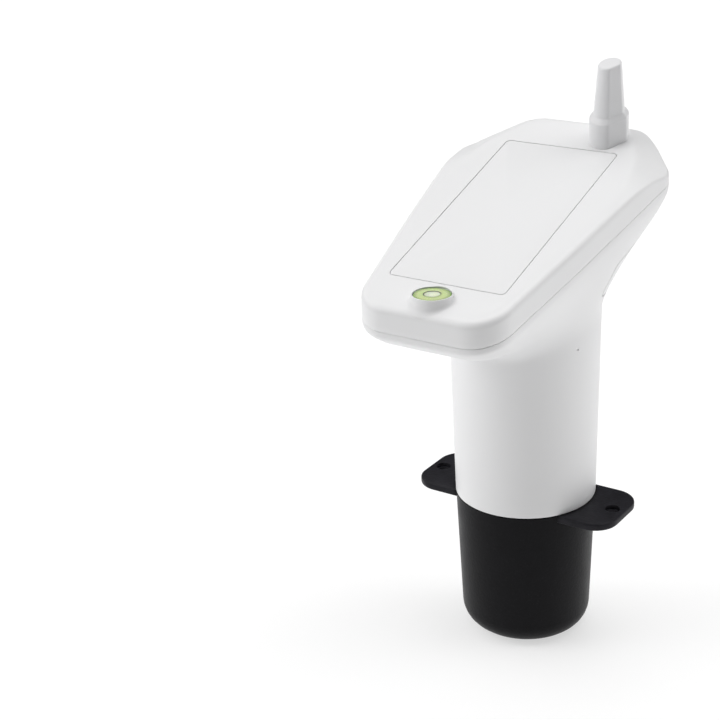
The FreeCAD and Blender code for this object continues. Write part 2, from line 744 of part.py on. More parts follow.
def ear_screw_cuts():
    """Hole and head sink for the screw in each ear."""
    cuts = []
    for x in (SCREW_SPACING / 2, -SCREW_SPACING / 2):
        cuts.append(cylinder(SCREW_HOLE_R, -OVER, FAR, x))
        cuts.append(cylinder(SCREW_SINK_R, EAR_THICKNESS - SCREW_SINK_DEPTH, FAR, x))
    return cuts


def make_mounting_cup():
    """Cup, ears and spigot in one moulding, with the sounder's seat and mouth in its floor."""
    floor = -CUP_DEPTH + CUP_FLOOR
    spigot = cylinder(spigot_r(), 0.0, EAR_THICKNESS + SPIGOT_HEIGHT)
    seat = cylinder(SLEEVE_R + SEAT_WALL, floor - OVER, seat_top())
    bosses = [cylinder(CLAMP_BOSS_R, floor - OVER, seat_top(), x, y) for x, y in clamp_places()]
    solid = cup_outside().fuse([ears_plate(), spigot]).cut(cup_hollow()).fuse([seat] + bosses)
    cuts = [cylinder(SLEEVE_R, floor, FAR), sounder_mouth(), ring_form(RING_R)]
    cuts += [cylinder(CLAMP_SCREW_R, seat_top() - CLAMP_SCREW_LENGTH, FAR, x, y) for x, y in clamp_places()]
    return solid.cut(cuts + ear_screw_cuts())


def ring_form(r):
    """Ring round the spigot with a many-sided section."""
    points = []
    for i in range(RING_SIDES):
        angle = 2 * math.pi * (i + 0.5) / RING_SIDES
        points.append((spigot_r() + r * math.cos(angle), RING_HEIGHT + r * math.sin(angle)))
    return turned(points)


def make_cup_seal():
    """Ring seal in the spigot's groove, flattened a little by the tube."""
    return ring_form(RING_R - SEAL_GAP).common(cylinder(INSIDE_R, 0.0, FAR))


def make_transducer():
    """Sounder can with a thin radiating face and a bevelled back."""
    low = -CUP_DEPTH + CUP_FLOOR + SLEEVE_FLOOR
    high = low + SOUNDER_HEIGHT
    face = low - SOUNDER_FACE_DROP
    return turned([(0, face), (SOUNDER_FACE_R, face), (SOUNDER_FACE_R, low), (SOUNDER_R, low),
                   (SOUNDER_R, high - SOUNDER_BEVEL), (SOUNDER_R - SOUNDER_BEVEL, high), (0, high)])


def make_transducer_sleeve():
    """Rubber sleeve round the sounder, with a lip under its edge."""
    low = -CUP_DEPTH + CUP_FLOOR
    face = low + SLEEVE_FLOOR
    high = seat_top() - SLEEVE_SPARE
    return turned([(SOUNDER_R - SLEEVE_LIP, low), (SLEEVE_R, low), (SLEEVE_R, high), (SOUNDER_R, high),
                   (SOUNDER_R, face), (SOUNDER_R - SLEEVE_LIP, face)])


def make_clamp_ring():
    """Ring with three ears that holds the sounder down."""
    low = seat_top()
    high = low + CLAMP_THICKNESS
    ring = cylinder(SLEEVE_R + SEAT_WALL, low, high)
    ears = [cylinder(CLAMP_BOSS_R, low, high, x, y) for x, y in clamp_places()]
    holes = [cylinder(CLAMP_SCREW_R + FIT_GAP, low - OVER, high + OVER, x, y) for x, y in clamp_places()]
    return ring.fuse(ears).cut(holes + [cylinder(CLAMP_HOLE_R, low - OVER, high + OVER)])


def make_clamp_screws():
    """Screws that point down through the clamp ring."""
    screw = make_screw(CLAMP_SCREW_R, CLAMP_THICKNESS + CLAMP_SCREW_GRIP, CLAMP_SCREW_HEAD_R, CLAMP_SCREW_HEAD)
    screw.rotate(V(0, 0, 0), V(1, 0, 0), 180)
    high = seat_top() + CLAMP_THICKNESS
    return Part.makeCompound([screw.translated(V(x, y, high)) for x, y in clamp_places()])


def socket_floor():
    """Height of the lead socket's underside."""
    drop = BOARD_DROP + square_drop(BOARD_THICKNESS + SOCKET_HEIGHT)
    return top_z(LEAD_Y) - drop


def make_lead_socket():
    """Socket under the board that the lead plugs into."""
    return under_board(block(SOCKET_HALF, -3.0, 3.0, -SOCKET_HEIGHT, 0), 0, LEAD_Y)


def make_sensor_lead():
    """Lead from the sounder's back up the tube to the socket."""
    start = seat_top()
    points = [V(0, LEAD_FOOT_Y, start), V(0, LEAD_FOOT_Y, start + LEAD_LOW), V(0, LEAD_Y, start + LEAD_HIGH),
              V(0, LEAD_Y, socket_floor() + LEAD_PLUG)]
    path = rounded(points, [0, LEAD_BEND_R, LEAD_BEND_R, 0], closed=False)
    ring = Part.Wire(Part.makeCircle(LEAD_R, points[0], UP))
    tube = path.makePipeShell([ring], True, True)
    return tube.cut(make_lead_socket())


def make_all():
    """Every piece by name."""
    outer = body_form(0.0, EAR_THICKNESS + FOOT_GAP, LIP_DEPTH)
    panel_inside = body_form(DOOR_SKIN, -FAR / 20, FAR / 20)
    rebate = body_form(DOOR_SKIN + DOOR_GAP, -FAR / 20, FAR / 20)
    inner = body_form(WALL, -FAR / 20, FAR / 20)
    return {
        "mounting_cup": make_mounting_cup(),
        "cup_seal": make_cup_seal(),
        "lower_housing": make_lower_housing(outer, rebate, inner),
        "battery_door": make_battery_door(outer, panel_inside),
        "top_cover": make_top_cover(),
        "cover_gasket": seal_ring(SEAL_GAP),
        "cover_screws": make_lid_screws(),
        "label_plate": plate_prism(PLATE_GAP, PLATE_THICKNESS, 0.0),
        "level_vial": make_vial(),
        "level_fluid": make_fluid(),
        "antenna_cap": make_antenna_cap(),
        "antenna_rod": make_antenna_rod(),
        "main_board": make_main_board(),
        "board_screws": make_board_screws(),
        "radio_module": under_board(chip(8.0, 11.0, 2.4), 8.0, 24.0),
        "control_chip": under_board(chip(5.0, 5.0, 1.2), -6.0, -34.0),
        "lead_socket": make_lead_socket(),
        "battery_tray": make_battery_tray(inner),
        "battery_lower": make_cell(1),
        "battery_upper": make_cell(-1),
        "contact_plates": make_contact_plates(),
        "contact_springs": make_contact_springs(),
        "switch_body": make_switch_body(),
        "pair_button": make_pair_button(),
        "transducer": make_transducer(),
        "transducer_sleeve": make_transducer_sleeve(),
        "clamp_ring": make_clamp_ring(),
        "clamp_screws": make_clamp_screws(),
        "sensor_lead": make_sensor_lead(),
    }


os.makedirs("parts", exist_ok=True)
for name, solid in make_all().items():
    solid.exportStep("parts/" + name + ".step")
    print(name, len(solid.Solids), solid.isValid(), round(solid.Volume, 1))
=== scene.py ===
import math

import bpy
import numpy as np
from bpy.props import FloatProperty, FloatVectorProperty, PointerProperty
from mathutils import Matrix, Vector


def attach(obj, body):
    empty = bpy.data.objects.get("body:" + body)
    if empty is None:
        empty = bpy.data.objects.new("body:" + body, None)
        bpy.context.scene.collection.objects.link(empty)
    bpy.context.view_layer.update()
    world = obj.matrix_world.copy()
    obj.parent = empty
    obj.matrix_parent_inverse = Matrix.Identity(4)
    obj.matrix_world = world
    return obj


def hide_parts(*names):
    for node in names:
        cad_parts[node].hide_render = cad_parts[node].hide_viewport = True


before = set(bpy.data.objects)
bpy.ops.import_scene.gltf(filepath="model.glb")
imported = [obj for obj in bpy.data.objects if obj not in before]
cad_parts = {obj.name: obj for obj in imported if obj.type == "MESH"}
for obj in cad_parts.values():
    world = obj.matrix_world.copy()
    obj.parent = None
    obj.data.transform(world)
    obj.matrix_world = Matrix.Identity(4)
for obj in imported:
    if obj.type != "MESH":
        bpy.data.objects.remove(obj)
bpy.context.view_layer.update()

# Dresses the ultrasonic level gauge: smooth mouldings, a level, an antenna and soft studio light.
# Shapes are worked out in millimetres in the CAD frame and written into the meshes in metres.

bl_info = {
    "name": "Ultrasonic Level Gauge",
    "version": (1, 0, 0),
    "blender": (4, 5, 0),
    "location": "View3D > Sidebar > Gauge",
    "description": "Builds the looks of an ultrasonic tank level gauge round its CAD frame",
    "category": "Add Mesh",
}

MM = 0.001
AXIS = np.zeros((1, 2))

# Points round each ring of the head
AROUND = 420

# Lid's top plane, depths of seam and lip under it, and the wall
TOP_HEIGHT = 129.26
TILT = math.radians(17.787)
SLOPE = math.tan(TILT)
SEAM = 9.5
LIP_END = 12.0
WALL = 2.2

# Head seen from above: right half of the rounded outline (x, y, corner radius)
HEAD = ((28.9, -77.4, 15.0), (38.3, -22.0, 600.0), (45.9, 31.2, 8.0), (22.75, 58.8, 44.0))

# Lid: roundings of its rim, of the bevel's lower edge and inside, and upright faces left at the seam
RIM_R = 2.6
RIM_BLEND = 0.8
SOFT_EDGE = 1.2
INSIDE_R = 0.8
LID_FACE = 1.0
INSIDE_FACE = 0.2

# Bevel round the lid's tail: softness of its crease, and right halves of its upper and lower edge
CREASE_R = 4.0
BEVEL_TOP = ((36.9, -100.0, 0.0), (36.9, 10.0, 30.0), (33.0, 28.0, 30.0), (20.5, 48.0, 10.0))
BEVEL_FOOT = ((96.9, -262.0, 0.0), (96.9, -10.0, 30.0), (50.0, 36.8, 30.0), (33.7, 61.2, 10.0))
BEVEL_RINGS = 14
BEVEL_STEPS = 24

# Tube and neck. NECK holds (depth, share of the way out from tube to lip) down the neck.
# The lip's lower corner is softened from a rise above it to a fall below it.
FOOT_Z = 3.2
TUBE_FOOT_R = 28.5
TUBE_FOOT_Z = 3.0
DRAFT = math.tan(math.radians(0.99))
NECK = ((12.0, 1.0), (16.5, 0.91), (24.5, 0.68), (34.0, 0.37), (42.0, 0.12), (48.0, 0.01), (53.0, 0.0))
LIP_RISE = 0.9
LIP_FALL = 1.3
COARSE_STEP = 3

# Door in the back of the neck: corners (y, z) seen from the side, its skin and its ribs
DOOR = ((3.6, 104.5), (-1.3, 91.0), (80.0, 88.0), (80.0, 129.0))
DOOR_CORNER_R = 3.0
DOOR_SKIN = 1.2
DOOR_LEDGE = 2.0
DOOR_PLAY = 0.3
DOOR_FORM_FOOT = 60.0
RIB_PLACES = (-18.0, -6.0, 6.0, 18.0)
RIB_DEEP = 1.6
RIB_BACK = 0.65

# Blank plate in the lid
PLATE_HALF = 24.5
PLATE_FRONT = -59.4
PLATE_BACK = 30.4
PLATE_R = 2.0
PLATE_DEEP = 0.8
PLATE_EDGE = 0.12

# Bubble level: holder and the fillet round its root, vial, fluid and bubble
LEVEL_Y = -67.85
LEVEL_TOP = 109.54
HOLDER_R = 7.55
HOLDER_FOOT = 98.74
ROOT_R = 1.8
ROOT_LAP = 0.3
ROOT_SINK = 0.6
VIAL_R = 7.1
VIAL_TALL = 6.4
VIAL_WALL = 0.2
VIAL_ROOF = 0.1
DOME_R = 160.0
FLUID_GAP = 0.11
FLUID_PLAY = 0.03
BUBBLE_R = 2.9
BUBBLE_DEEP = 1.0

# Ring mark of the level: its thickness, a point behind it on the left, seen from the level's
# axis, and distances from there at which dark ends, at which pale starts and at which it ends.
# The pale front is a painted highlight, not ink.
MARK_THICK = 0.07
MARK_POINT = (-6.8, 6.8)
MARK_HIGHLIGHT_BANDS = (10.0, 11.6, 15.0)

# Antenna: its section (radius, height, corner radius). One side is flat, at an angle round the
# stub and at a share of its radius.
ANTENNA_X = 15.7
ANTENNA_Y = 39.3
MAST = ((7.75, 0.0, 0.0), (7.6, 9.4, 0.8), (6.0, 11.0, 1.0), (4.5, 29.8, 0.9), (0.0, 29.8, 0.0))
MAST_CAP_R = 2.0
FLAT_ANGLE = math.radians(-34.0)
FLAT_SHARE = 0.85
FLAT_BLEND = 0.03

# Cup: its section (radius, height, corner radius), and its ears
CUP = ((26.05, -57.8, 10.0), (28.4, 3.0, 0.35), (26.2, 3.0, 0.2), (26.2, 8.0, 0.1), (25.3, 9.0, 0.1),
       (26.2, 10.0, 0.1), (26.2, 15.0, 0.6), (22.8, 15.0, 0.6), (22.8, 0.0, 8.0), (23.45, -47.8, 3.0),
       (18.45, -51.8, 2.0), (15.0, -51.8, 0.8), (15.0, -37.8, 0.4), (12.6, -37.8, 0.3),
       (12.6, -51.8, 0.3), (9.5, -51.8, 0.3), (9.5, -53.6, 0.8), (13.0, -57.8, 0.8))
EAR_X = 44.6
EAR_Y = 16.6
EAR_TALL = 3.0
EAR_R = 10.0
EAR_EDGE = 0.7
EAR_HOLE_X = 39.25

# Screws: where they are, and each kind's shank radius, length, head radius and head height
LID_SCREWS = ((21.0, -65.0), (27.0, 37.0))
LID_SCREW = (1.4, 9.0, 2.7, 2.0)
BOARD_SCREWS = ((18.0, -46.0), (18.0, 22.0))
BOARD_SCREW = (1.0, 4.2, 1.9, 1.2)
BOARD_DROP = 6.2
BOARD_THICK = 1.6
CLAMP_R = 15.0
CLAMP_Z = -35.4
CLAMP_ANGLES = (90, 210, 330)
CLAMP_SCREW = (1.1, 7.4, 2.0, 1.4)

# Round forms that are joined or cut: radius, low end and high end
BRIDGE = 3.0
LID_BOSS = (3.0, 0.0, 7.9)
LID_HOLE = (1.4, -1.0, 6.0)
BOARD_POST = (2.6, 0.0, 4.8)
POST_HOLE = (1.0, -1.0, 2.6)
PAN_BOSS = (4.6, -60.0, 0.0)
PAN_WELL = (3.1, -90.0, -BRIDGE)
PAN_HOLE = (1.5, -10.0, 1.0)
CLAMP_BOSS = (3.0, -52.8, -37.8)
CLAMP_HOLE = (1.1, -45.8, 0.0)
SOUNDER_BORE = (12.6, -51.8, -20.0)
EAR_ROOM = (24.5, -10.0, 10.0)
EAR_HOLE = (2.1, -5.0, 9.0)
EAR_SINK = (3.1, EAR_TALL - 1.6, 9.0)
VIAL_BORE = (VIAL_R + 0.1, LEVEL_TOP - VIAL_TALL, 140.0)
STEM = (4.4, 132.0, 150.0)
STEM_HOLE = (4.5, 118.0, 160.0)
ROD_BORE = (1.0, 100.0, 166.0)
VENT = (0.35, 20.0, 40.0)
VENT_ANGLE = math.radians(-18.8)
VENT_Z = 72.5

# Battery tray: its placement, the cells' pitch, half their room, half a cell and its section
TRAY = Matrix.Translation((0, 11.0, 104.5)) @ Matrix.Rotation(math.radians(-122.0), 4, "X")
CELL_PITCH = 15.8
CELL_ROOM = 28.05
CELL_END = 24.65
CELL = ((0.0, -CELL_END, 0.0), (7.2, -CELL_END, 0.6), (7.2, CELL_END, 0.6), (6.0, CELL_END, 0.2),
        (6.0, CELL_END - 0.3, 0.1), (2.7, CELL_END - 0.3, 0.1), (2.7, CELL_END + 1.2, 0.4),
        (0.0, CELL_END + 1.2, 0.0))

# Springs at the cells' flat ends, each on a square plate
SPRING_FOOT_R = 3.6
SPRING_TIP_R = 2.0
WIRE_R = 0.35
CONTACT_HALF = 4.5
CONTACT_R = 0.8
CONTACT_THICK = 0.4
CONTACT_EDGE = 0.1

# Floor under the cup: its height, the radii of its rings and its glow
FLOOR_Z = -57.8
FLOOR_RINGS = (9000.0, 3000.0, 600.0)
FLOOR_GLOW = 0.58

# Camera that sees the gauge as the photograph does
EYE = (291.74, -529.36, 310.04)
VIEW = (-0.53149, 0.75655, -0.38098)
ROLL = math.radians(-2.538)
LENS = 81.915
SENSOR = 36.0

# Soft boxes: degrees to the right of the camera, degrees up, and strength
SOFT_BOXES = ((270, 38, 5.2), (270, 8, 1.1), (225, 38, 1.6), (180, 65, 3.3), (90, 65, 3.9), (90, 8, 4.1),
              (45, 65, 0.4))
BOX_SHARPNESS = 20.0
WHITE = (1, 1, 1, 1)


def length_setting(name, text, default, low, high):
    """A length in metres that the panel shows."""
    return FloatProperty(name=name, description=text, default=default, min=low, max=high,
                         subtype="DISTANCE", unit="LENGTH")


def colour_setting(name, text, default):
    """A colour that the panel shows."""
    return FloatVectorProperty(name=name, description=text, default=default, size=3, min=0, max=1,
                               subtype="COLOR")


class GaugeSizes(bpy.types.PropertyGroup):
    """Sizes of the gauge's finish, in metres."""
    seam_edge: length_setting("Seam edge", "Rounding of both mouldings where lid and pan meet",
                              0.0004, 0.00005, 0.0008)
    door_gap: length_setting("Door gap", "Gap round the battery door", 0.0005, 0.0001, 0.0008)
    plate_gap: length_setting("Plate gap", "Gap round the blank plate in the lid", 0.00035, 0.0001, 0.0006)
    mark_radius: length_setting("Level mark", "Radius of the ring marked under the vial's roof",
                                0.0031, 0.002, 0.006)
    mark_width: length_setting("Mark width", "Width of the level's ring mark", 0.0005, 0.0001, 0.0012)
    thread_pitch: length_setting("Thread pitch", "Pitch of the screws' threads", 0.0008, 0.0004, 0.0015)
    rib_width: length_setting("Rib width", "Thickness of the ribs inside the battery door",
                              0.0012, 0.0006, 0.002)
    spring_turns: FloatProperty(name="Spring turns", description="Turns of each battery spring",
                                default=4.0, min=2.0, max=6.0)
    grain: length_setting("Moulding grain", "Depth of the fine grain on the mouldings", 0.00002, 0.0, 0.0002)


class GaugeColours(bpy.types.PropertyGroup):
    """Colours of the gauge's finishes."""
    housing: colour_setting("White mouldings", "Colour of tube, lid, door and plate", (0.80, 0.80, 0.805))
    antenna: colour_setting("Antenna", "Colour of the antenna stub", (0.76, 0.76, 0.77))
    cup: colour_setting("Cup", "Colour of the mounting cup and its ears", (0.0039, 0.0038, 0.0046))
    fluid: colour_setting("Level fluid", "Colour of the fluid in the level", (0.62, 0.74, 0.34))
    mark: colour_setting("Level mark", "Colour of the level's ring mark", (0.05, 0.06, 0.03))


def sizes():
    """Sizes that the panel holds."""
    return bpy.context.scene.gauge_sizes


def colours():
    """Colours that the panel holds."""
    return bpy.context.scene.gauge_colours


# Outlines

def top_z(y):
    """Height of the lid's top plane above a place from front to back."""
    return TOP_HEIGHT + SLOPE * y


def tube_r(z):
    """Outer radius of the tapered tube at a height."""
    return TUBE_FOOT_R + DRAFT * (z - TUBE_FOOT_Z)


def unit(v):
    """The same direction with length 1."""
    return v / np.linalg.norm(v)


def circle(count):
    """Flat points all round at radius 1."""
    angles = np.arange(count) * 2 * math.pi / count
    return np.column_stack([np.cos(angles), np.sin(angles)])


def rounded(corners, per=32):
    """Points and outward directions of a closed outline, counter-clockwise, with each corner rounded."""
    spots = [np.array(c[:2], float) for c in corners]
    points, outs = [], []
    for i, corner in enumerate(corners):
        here = spots[i]
        before = unit(spots[i - 1] - here)
        after = unit(spots[(i + 1) % len(spots)] - here)
        half = math.acos(float(before @ after)) / 2
        centre = here + unit(before + after) * corner[2] / math.sin(half)
        start = math.atan2(-before[0], before[1])
        side = np.array([math.cos(start), math.sin(start)])
        if side @ (before + after) > 0:
            start += math.pi
        for step in range(per + 1):
            angle = start + (math.pi - 2 * half) * step / per
            out = np.array([math.cos(angle), math.sin(angle)])
            outs.append(out)
            points.append(centre + corner[2] * out)
    return np.array(points), np.array(outs)


def mirrored(half):
    """Whole outline from its right half."""
    return list(half) + [(-x, y, r) for x, y, r in reversed(half)]


def spaced(points, outs, count):
    """The same closed outline with a number of evenly spaced points."""
    ring = np.vstack([points, points[:1]])
    turned = np.vstack([outs, outs[:1]])
    along = np.concatenate([[0.0], np.cumsum(np.hypot(*np.diff(ring, axis=0).T))])
    at = np.linspace(0.0, along[-1], count, endpoint=False)
    spots = np.column_stack([np.interp(at, along, ring[:, k]) for k in (0, 1)])
    sides = np.column_stack([np.interp(at, along, turned[:, k]) for k in (0, 1)])
    return spots, sides / np.linalg.norm(sides, axis=1)[:, None]


def soft_path(corners, closed=False):
    """A section's path (radius, height) whose corners are rounded with small steps."""
    spots = [np.array(c[:2], float) for c in corners]
    count = len(spots)
    path = []
    for i, corner in enumerate(corners):
        here, r = spots[i], corner[2]
        if r == 0 or (not closed and i in (0, count - 1)):
            path.append(here)
            continue
        before = unit(spots[i - 1] - here)
        after = unit(spots[(i + 1) % count] - here)
        half = math.acos(float(np.clip(before @ after, -1, 1))) / 2
        cut = r / math.tan(half)
        steps = max(3, int(math.ceil(math.degrees(math.pi - 2 * half) / 12)))
        start, end = here + before * cut, here + after * cut
        centre = here + unit(before + after) * r / math.sin(half)
        a, b = start - centre, end - centre
        turn = math.acos(float(np.clip(unit(a) @ unit(b), -1, 1)))
        for k in range(steps + 1):
            share = k / steps
            arm = (math.sin((1 - share) * turn) * a + math.sin(share * turn) * b) / math.sin(turn)
            path.append(centre + arm)
    return np.array(path)


# Meshes

def skin(name, rows, loop=False):
    """Mesh through rows of points in millimetres. A row of one point closes the form to a tip."""
    starts = np.cumsum([0] + [len(row) for row in rows])
    faces = []
    for low in range(len(rows) if loop else len(rows) - 1):
        high = (low + 1) % len(rows)
        a, b = len(rows[low]), len(rows[high])
        count = max(a, b)
        if count == 1:
            continue
        for i in range(count):
            j = (i + 1) % count
            if a == 1:
                faces.append((starts[low], starts[high] + j, starts[high] + i))
            elif b == 1:
                faces.append((starts[low] + i, starts[low] + j, starts[high]))
            else:
                faces.append((starts[low] + i, starts[low] + j, starts[high] + j, starts[high] + i))
    mesh = bpy.data.meshes.new(name)
    mesh.from_pydata((np.vstack(rows) * MM).tolist(), [], [tuple(int(k) for k in f) for f in faces])
    return added(name, mesh)


def added(name, mesh):
    """Put a mesh in the scene as an object at the origin."""
    piece = bpy.data.objects.new(name, mesh)
    bpy.context.scene.collection.objects.link(piece)
    return piece


def laid(points, drop):
    """Flat points moved on to a depth under the lid's top plane."""
    points = np.atleast_2d(points)
    return np.column_stack([points[:, 0], points[:, 1], top_z(points[:, 1]) - drop])


def level(points, z):
    """Flat points at one height."""
    points = np.atleast_2d(points)
    return np.column_stack([points[:, 0], points[:, 1], np.full(len(points), float(z))])


def turned(name, path, count=192, x=0.0, y=0.0, loop=True):
    """Turned form round an upright axis from a path (radius, height)."""
    around = circle(count)
    rows = [level(around * r + (x, y) if r > 1e-6 else (x, y), z) for r, z in path]
    return skin(name, rows, loop)


def rod(name, r, low, high, count=48, x=0.0, y=0.0):
    """Plain round tool along the upright axis, used only to cut or to stand a boss."""
    return turned(name, [(0, low), (r, low), (r, high), (0, high)], count, x, y, loop=False)


def moved(piece, matrix):
    """Write a placement in millimetres into a piece's mesh."""
    shift = matrix.copy()
    shift.translation = shift.translation * MM
    piece.data.transform(shift)
    return piece


def square_on(x, y, drop):
    """Placement square to the lid's top, at a depth under a place."""
    turn = Matrix.Rotation(TILT, 4, "X")
    depth = turn @ Vector((0, 0, 1)) * (drop * math.cos(TILT))
    return Matrix.Translation(Vector((x, y, top_z(y))) - depth) @ turn


def both_sides(places):
    """Places and their mirror images on the head's other side."""
    return [(side * x, y) for x, y in places for side in (1, -1)]


def point_mesh(name, points, edges=()):
    """Bare points in millimetres, with lines between them where given."""
    mesh = bpy.data.meshes.new(name)
    mesh.from_pydata([tuple(c * MM for c in p) for p in points], list(edges), [])
    return added(name, mesh)


def settle(piece):
    """Keep what a piece's modifiers make as its own mesh."""
    bpy.context.view_layer.update()
    seen = piece.evaluated_get(bpy.context.evaluated_depsgraph_get())
    mesh = bpy.data.meshes.new_from_object(seen)
    piece.modifiers.clear()
    old = piece.data
    piece.data = mesh
    mesh.name = old.name
    bpy.data.meshes.remove(old)
    return piece


def combine(piece, tool, how):
    """Cut, join or keep the common part of two closed meshes, and drop the tool."""
    step = piece.modifiers.new("combine", "BOOLEAN")
    step.operation = how
    step.solver = "MANIFOLD"
    step.object = tool
    settle(piece)
    if not piece.data.polygons:
        raise RuntimeError(piece.name + " came out empty")
    bpy.data.objects.remove(tool)
    return piece


def at_places(piece, form, places, drop, how):
    """Join or cut a round form at places on both sides of the head, square to the lid's top."""
    for x, y in both_sides(places):
        combine(piece, moved(rod("form", *form), square_on(x, y, drop)), how)


def finish(piece, material, body, nodes, sharp=38.0):
    """Shade a piece, give it its material and tell the frame what it stands for."""
    piece.data.materials.clear()
    piece.data.materials.append(material)
    piece.data.polygons.foreach_set("material_index", np.zeros(len(piece.data.polygons), np.int32))
    piece.data.shade_smooth()
    piece.data.set_sharp_from_angle(angle=math.radians(sharp))
    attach(piece, body)
    if nodes:
        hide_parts(*nodes)
    return piece


# Nodes

def fill(tree, made, values):
    """Fill a node's sockets, or link them where a value is another node's socket."""
    for key, value in values.items():
        if isinstance(value, bpy.types.NodeSocket):
            tree.links.new(value, made.inputs[key])
        else:
            made.inputs[key].default_value = value
    return made


def node(tree, kind, values=None, **settings):
    """One node of the tree's own family, with its settings and its sockets filled or linked."""
    made = tree.nodes.new(tree.bl_idname.removesuffix("Tree") + kind)
    for key, value in settings.items():
        setattr(made, key, value)
    return fill(tree, made, values or {})


# Materials

def coat(material, values):
    """Fill sockets of a material's shader."""
    fill(material.node_tree, material.node_tree.nodes["Principled BSDF"], values)
    return material


def plastic(name, colour, other, rough, grain_size, grain_depth, patch=0.02, metallic=0.0, edge=0.00025,
            specular=0.5, ior=1.46):
    """Moulded or metal finish: a little colour drift, uneven gloss and a fine grain."""
    material = bpy.data.materials.new(name)
    material.use_nodes = True
    tree = material.node_tree
    place = node(tree, "TexCoord").outputs["Object"]
    drift = node(tree, "TexNoise", {"Vector": place, "Scale": 1.0 / patch, "Detail": 4.0}).outputs["Fac"]
    tint = node(tree, "Mix", {"Factor": drift, "A": (*colour, 1), "B": (*other, 1)}, data_type="RGBA")
    gloss = node(tree, "MapRange", {"Value": drift, "To Min": rough[0], "To Max": rough[1]})
    grain = node(tree, "TexNoise", {"Vector": place, "Scale": 1.0 / grain_size, "Detail": 3.0})
    soften = node(tree, "Bevel", {"Radius": edge}, samples=6)
    bump = node(tree, "Bump", {"Height": grain.outputs["Fac"], "Normal": soften.outputs["Normal"],
                               "Distance": grain_depth, "Strength": 1.0})
    return coat(material, {"Base Color": tint.outputs["Result"], "Roughness": gloss.outputs["Result"],
                           "Normal": bump.outputs["Normal"], "Metallic": metallic, "IOR": ior,
                           "Specular IOR Level": specular})


def banded(material, stops, centre=(0.0, 0.0, 0.0), across=(1, 1, 0), drift=False):
    """Colour a material in bands by distance from a centre, along the axes that count, in metres.

    With drift, the bands are still mixed with the material's second colour."""
    tree = material.node_tree
    end = stops[-1][0]
    place = node(tree, "TexCoord")
    near = node(tree, "Mapping", {"Vector": place.outputs["Object"], "Location": centre},
                vector_type="TEXTURE")
    flat = node(tree, "VectorMath", {0: near.outputs["Vector"], 1: across}, operation="MULTIPLY")
    length = node(tree, "VectorMath", {0: flat.outputs["Vector"]}, operation="LENGTH")
    reach = node(tree, "Math", {0: length.outputs["Value"], 1: end}, operation="DIVIDE")
    ramp = node(tree, "ValToRGB", {"Fac": reach.outputs["Value"]})
    for k, (at, colour) in enumerate(stops):
        stop = ramp.color_ramp.elements[k] if k < 2 else ramp.color_ramp.elements.new(at / end)
        stop.position = at / end
        stop.color = (*colour, 1)
    if drift:
        fill(tree, tree.nodes["Mix"], {"A": ramp.outputs["Color"]})
        return material
    return coat(material, {"Base Color": ramp.outputs["Color"]})


def shade(colour, share):
    """A colour darkened or lifted by a share."""
    return tuple(c * share for c in colour)


def housing_plastic(name="housing_plastic"):
    """White moulding, the same for tube, lid, door and plate."""
    colour = colours().housing
    return plastic(name, colour, shade(colour, 0.985), (0.38, 0.48), 0.0006, sizes().grain, 0.03)


def cup_plastic():
    """Black plastic, lighter on the ears: partly dust, partly painted sheen for the light their tops reflect."""
    colour = colours().cup
    material = plastic("cup_plastic", colour, shade(colour, 1.9), (0.32, 0.48), 0.0011, sizes().grain * 4,
                       0.006, specular=0.11)
    wall = CUP[1][0] * MM
    # The ears' lighter band is partly dust and partly painted sheen: their colour is lifted to stand in for light
    # reflected off their tops.
    stops = ((0.0, colour), (wall, colour), (wall + 0.0015, shade(colour, 7.5)), (0.06, shade(colour, 7.0)))
    return banded(material, stops, drift=True)


def antenna_plastic():
    """Slightly greyer white of the antenna stub."""
    colour = colours().antenna
    return plastic("antenna_plastic", colour, shade(colour, 0.98), (0.36, 0.46), 0.0007, sizes().grain,
                   0.012)


def clear_plastic():
    """Clear roof of the level: nearly all see-through, with a hard gloss."""
    material = plastic("vial_clear", (0.92, 0.95, 0.88), (0.90, 0.93, 0.86), (0.04, 0.07), 0.002, 0.000002,
                       0.01, edge=0.0001, ior=1.5)
    return coat(material, {"Alpha": 0.05})


def level_fluid():
    """Yellow-green fluid, palest under the bubble and most saturated against the vial's wall."""
    colour = colours().fluid
    pale = tuple(0.45 * c + 0.55 * 0.88 for c in colour)
    deep = (colour[0] * 0.35, colour[1] * 0.62, colour[2] * 0.12)
    material = plastic("level_fluid", colour, shade(colour, 0.96), (0.15, 0.22), 0.002, 0.000002, 0.01,
                       edge=0.0001)
    banded(material, ((0.0, pale), (0.0027, pale), (0.0032, colour), (0.0052, colour),
                      (0.0062, shade(colour, 0.66)), (0.0068, deep)), (0.0, LEVEL_Y * MM, 0.0))
    return coat(material, {"Subsurface Weight": 0.3, "Subsurface Radius": (0.5, 1.0, 0.2),
                           "Subsurface Scale": 0.001})


def mark_paint():
    """Dark ink of the level's ring mark, with a painted highlight that makes its front pale."""
    dark, pale = colours().mark, shade(colours().fluid, 0.62)
    material = plastic("level_mark", dark, shade(dark, 1.3), (0.4, 0.5), 0.001, 0.000002)
    near, far, end = (at * MM for at in MARK_HIGHLIGHT_BANDS)
    # The pale front of the ring is a painted highlight of light falling through the vial, not ink.
    return banded(material, ((0.0, dark), (near, dark), (far, pale), (end, pale)),
                  (MARK_POINT[0] * MM, (LEVEL_Y + MARK_POINT[1]) * MM, 0.0))


def cell_wrap():
    """Wrapped battery cell with bare metal ends."""
    wrap, steel = (0.02, 0.11, 0.16), (0.55, 0.55, 0.54)
    material = plastic("cell_wrap", wrap, wrap, (0.28, 0.36), 0.0008, 0.000006, 0.004)
    end = (CELL_END - 0.8) * MM
    return banded(material, ((0.0, wrap), (end, wrap), (end + 0.0001, steel), (0.028, steel)),
                  across=(1, 0, 0))


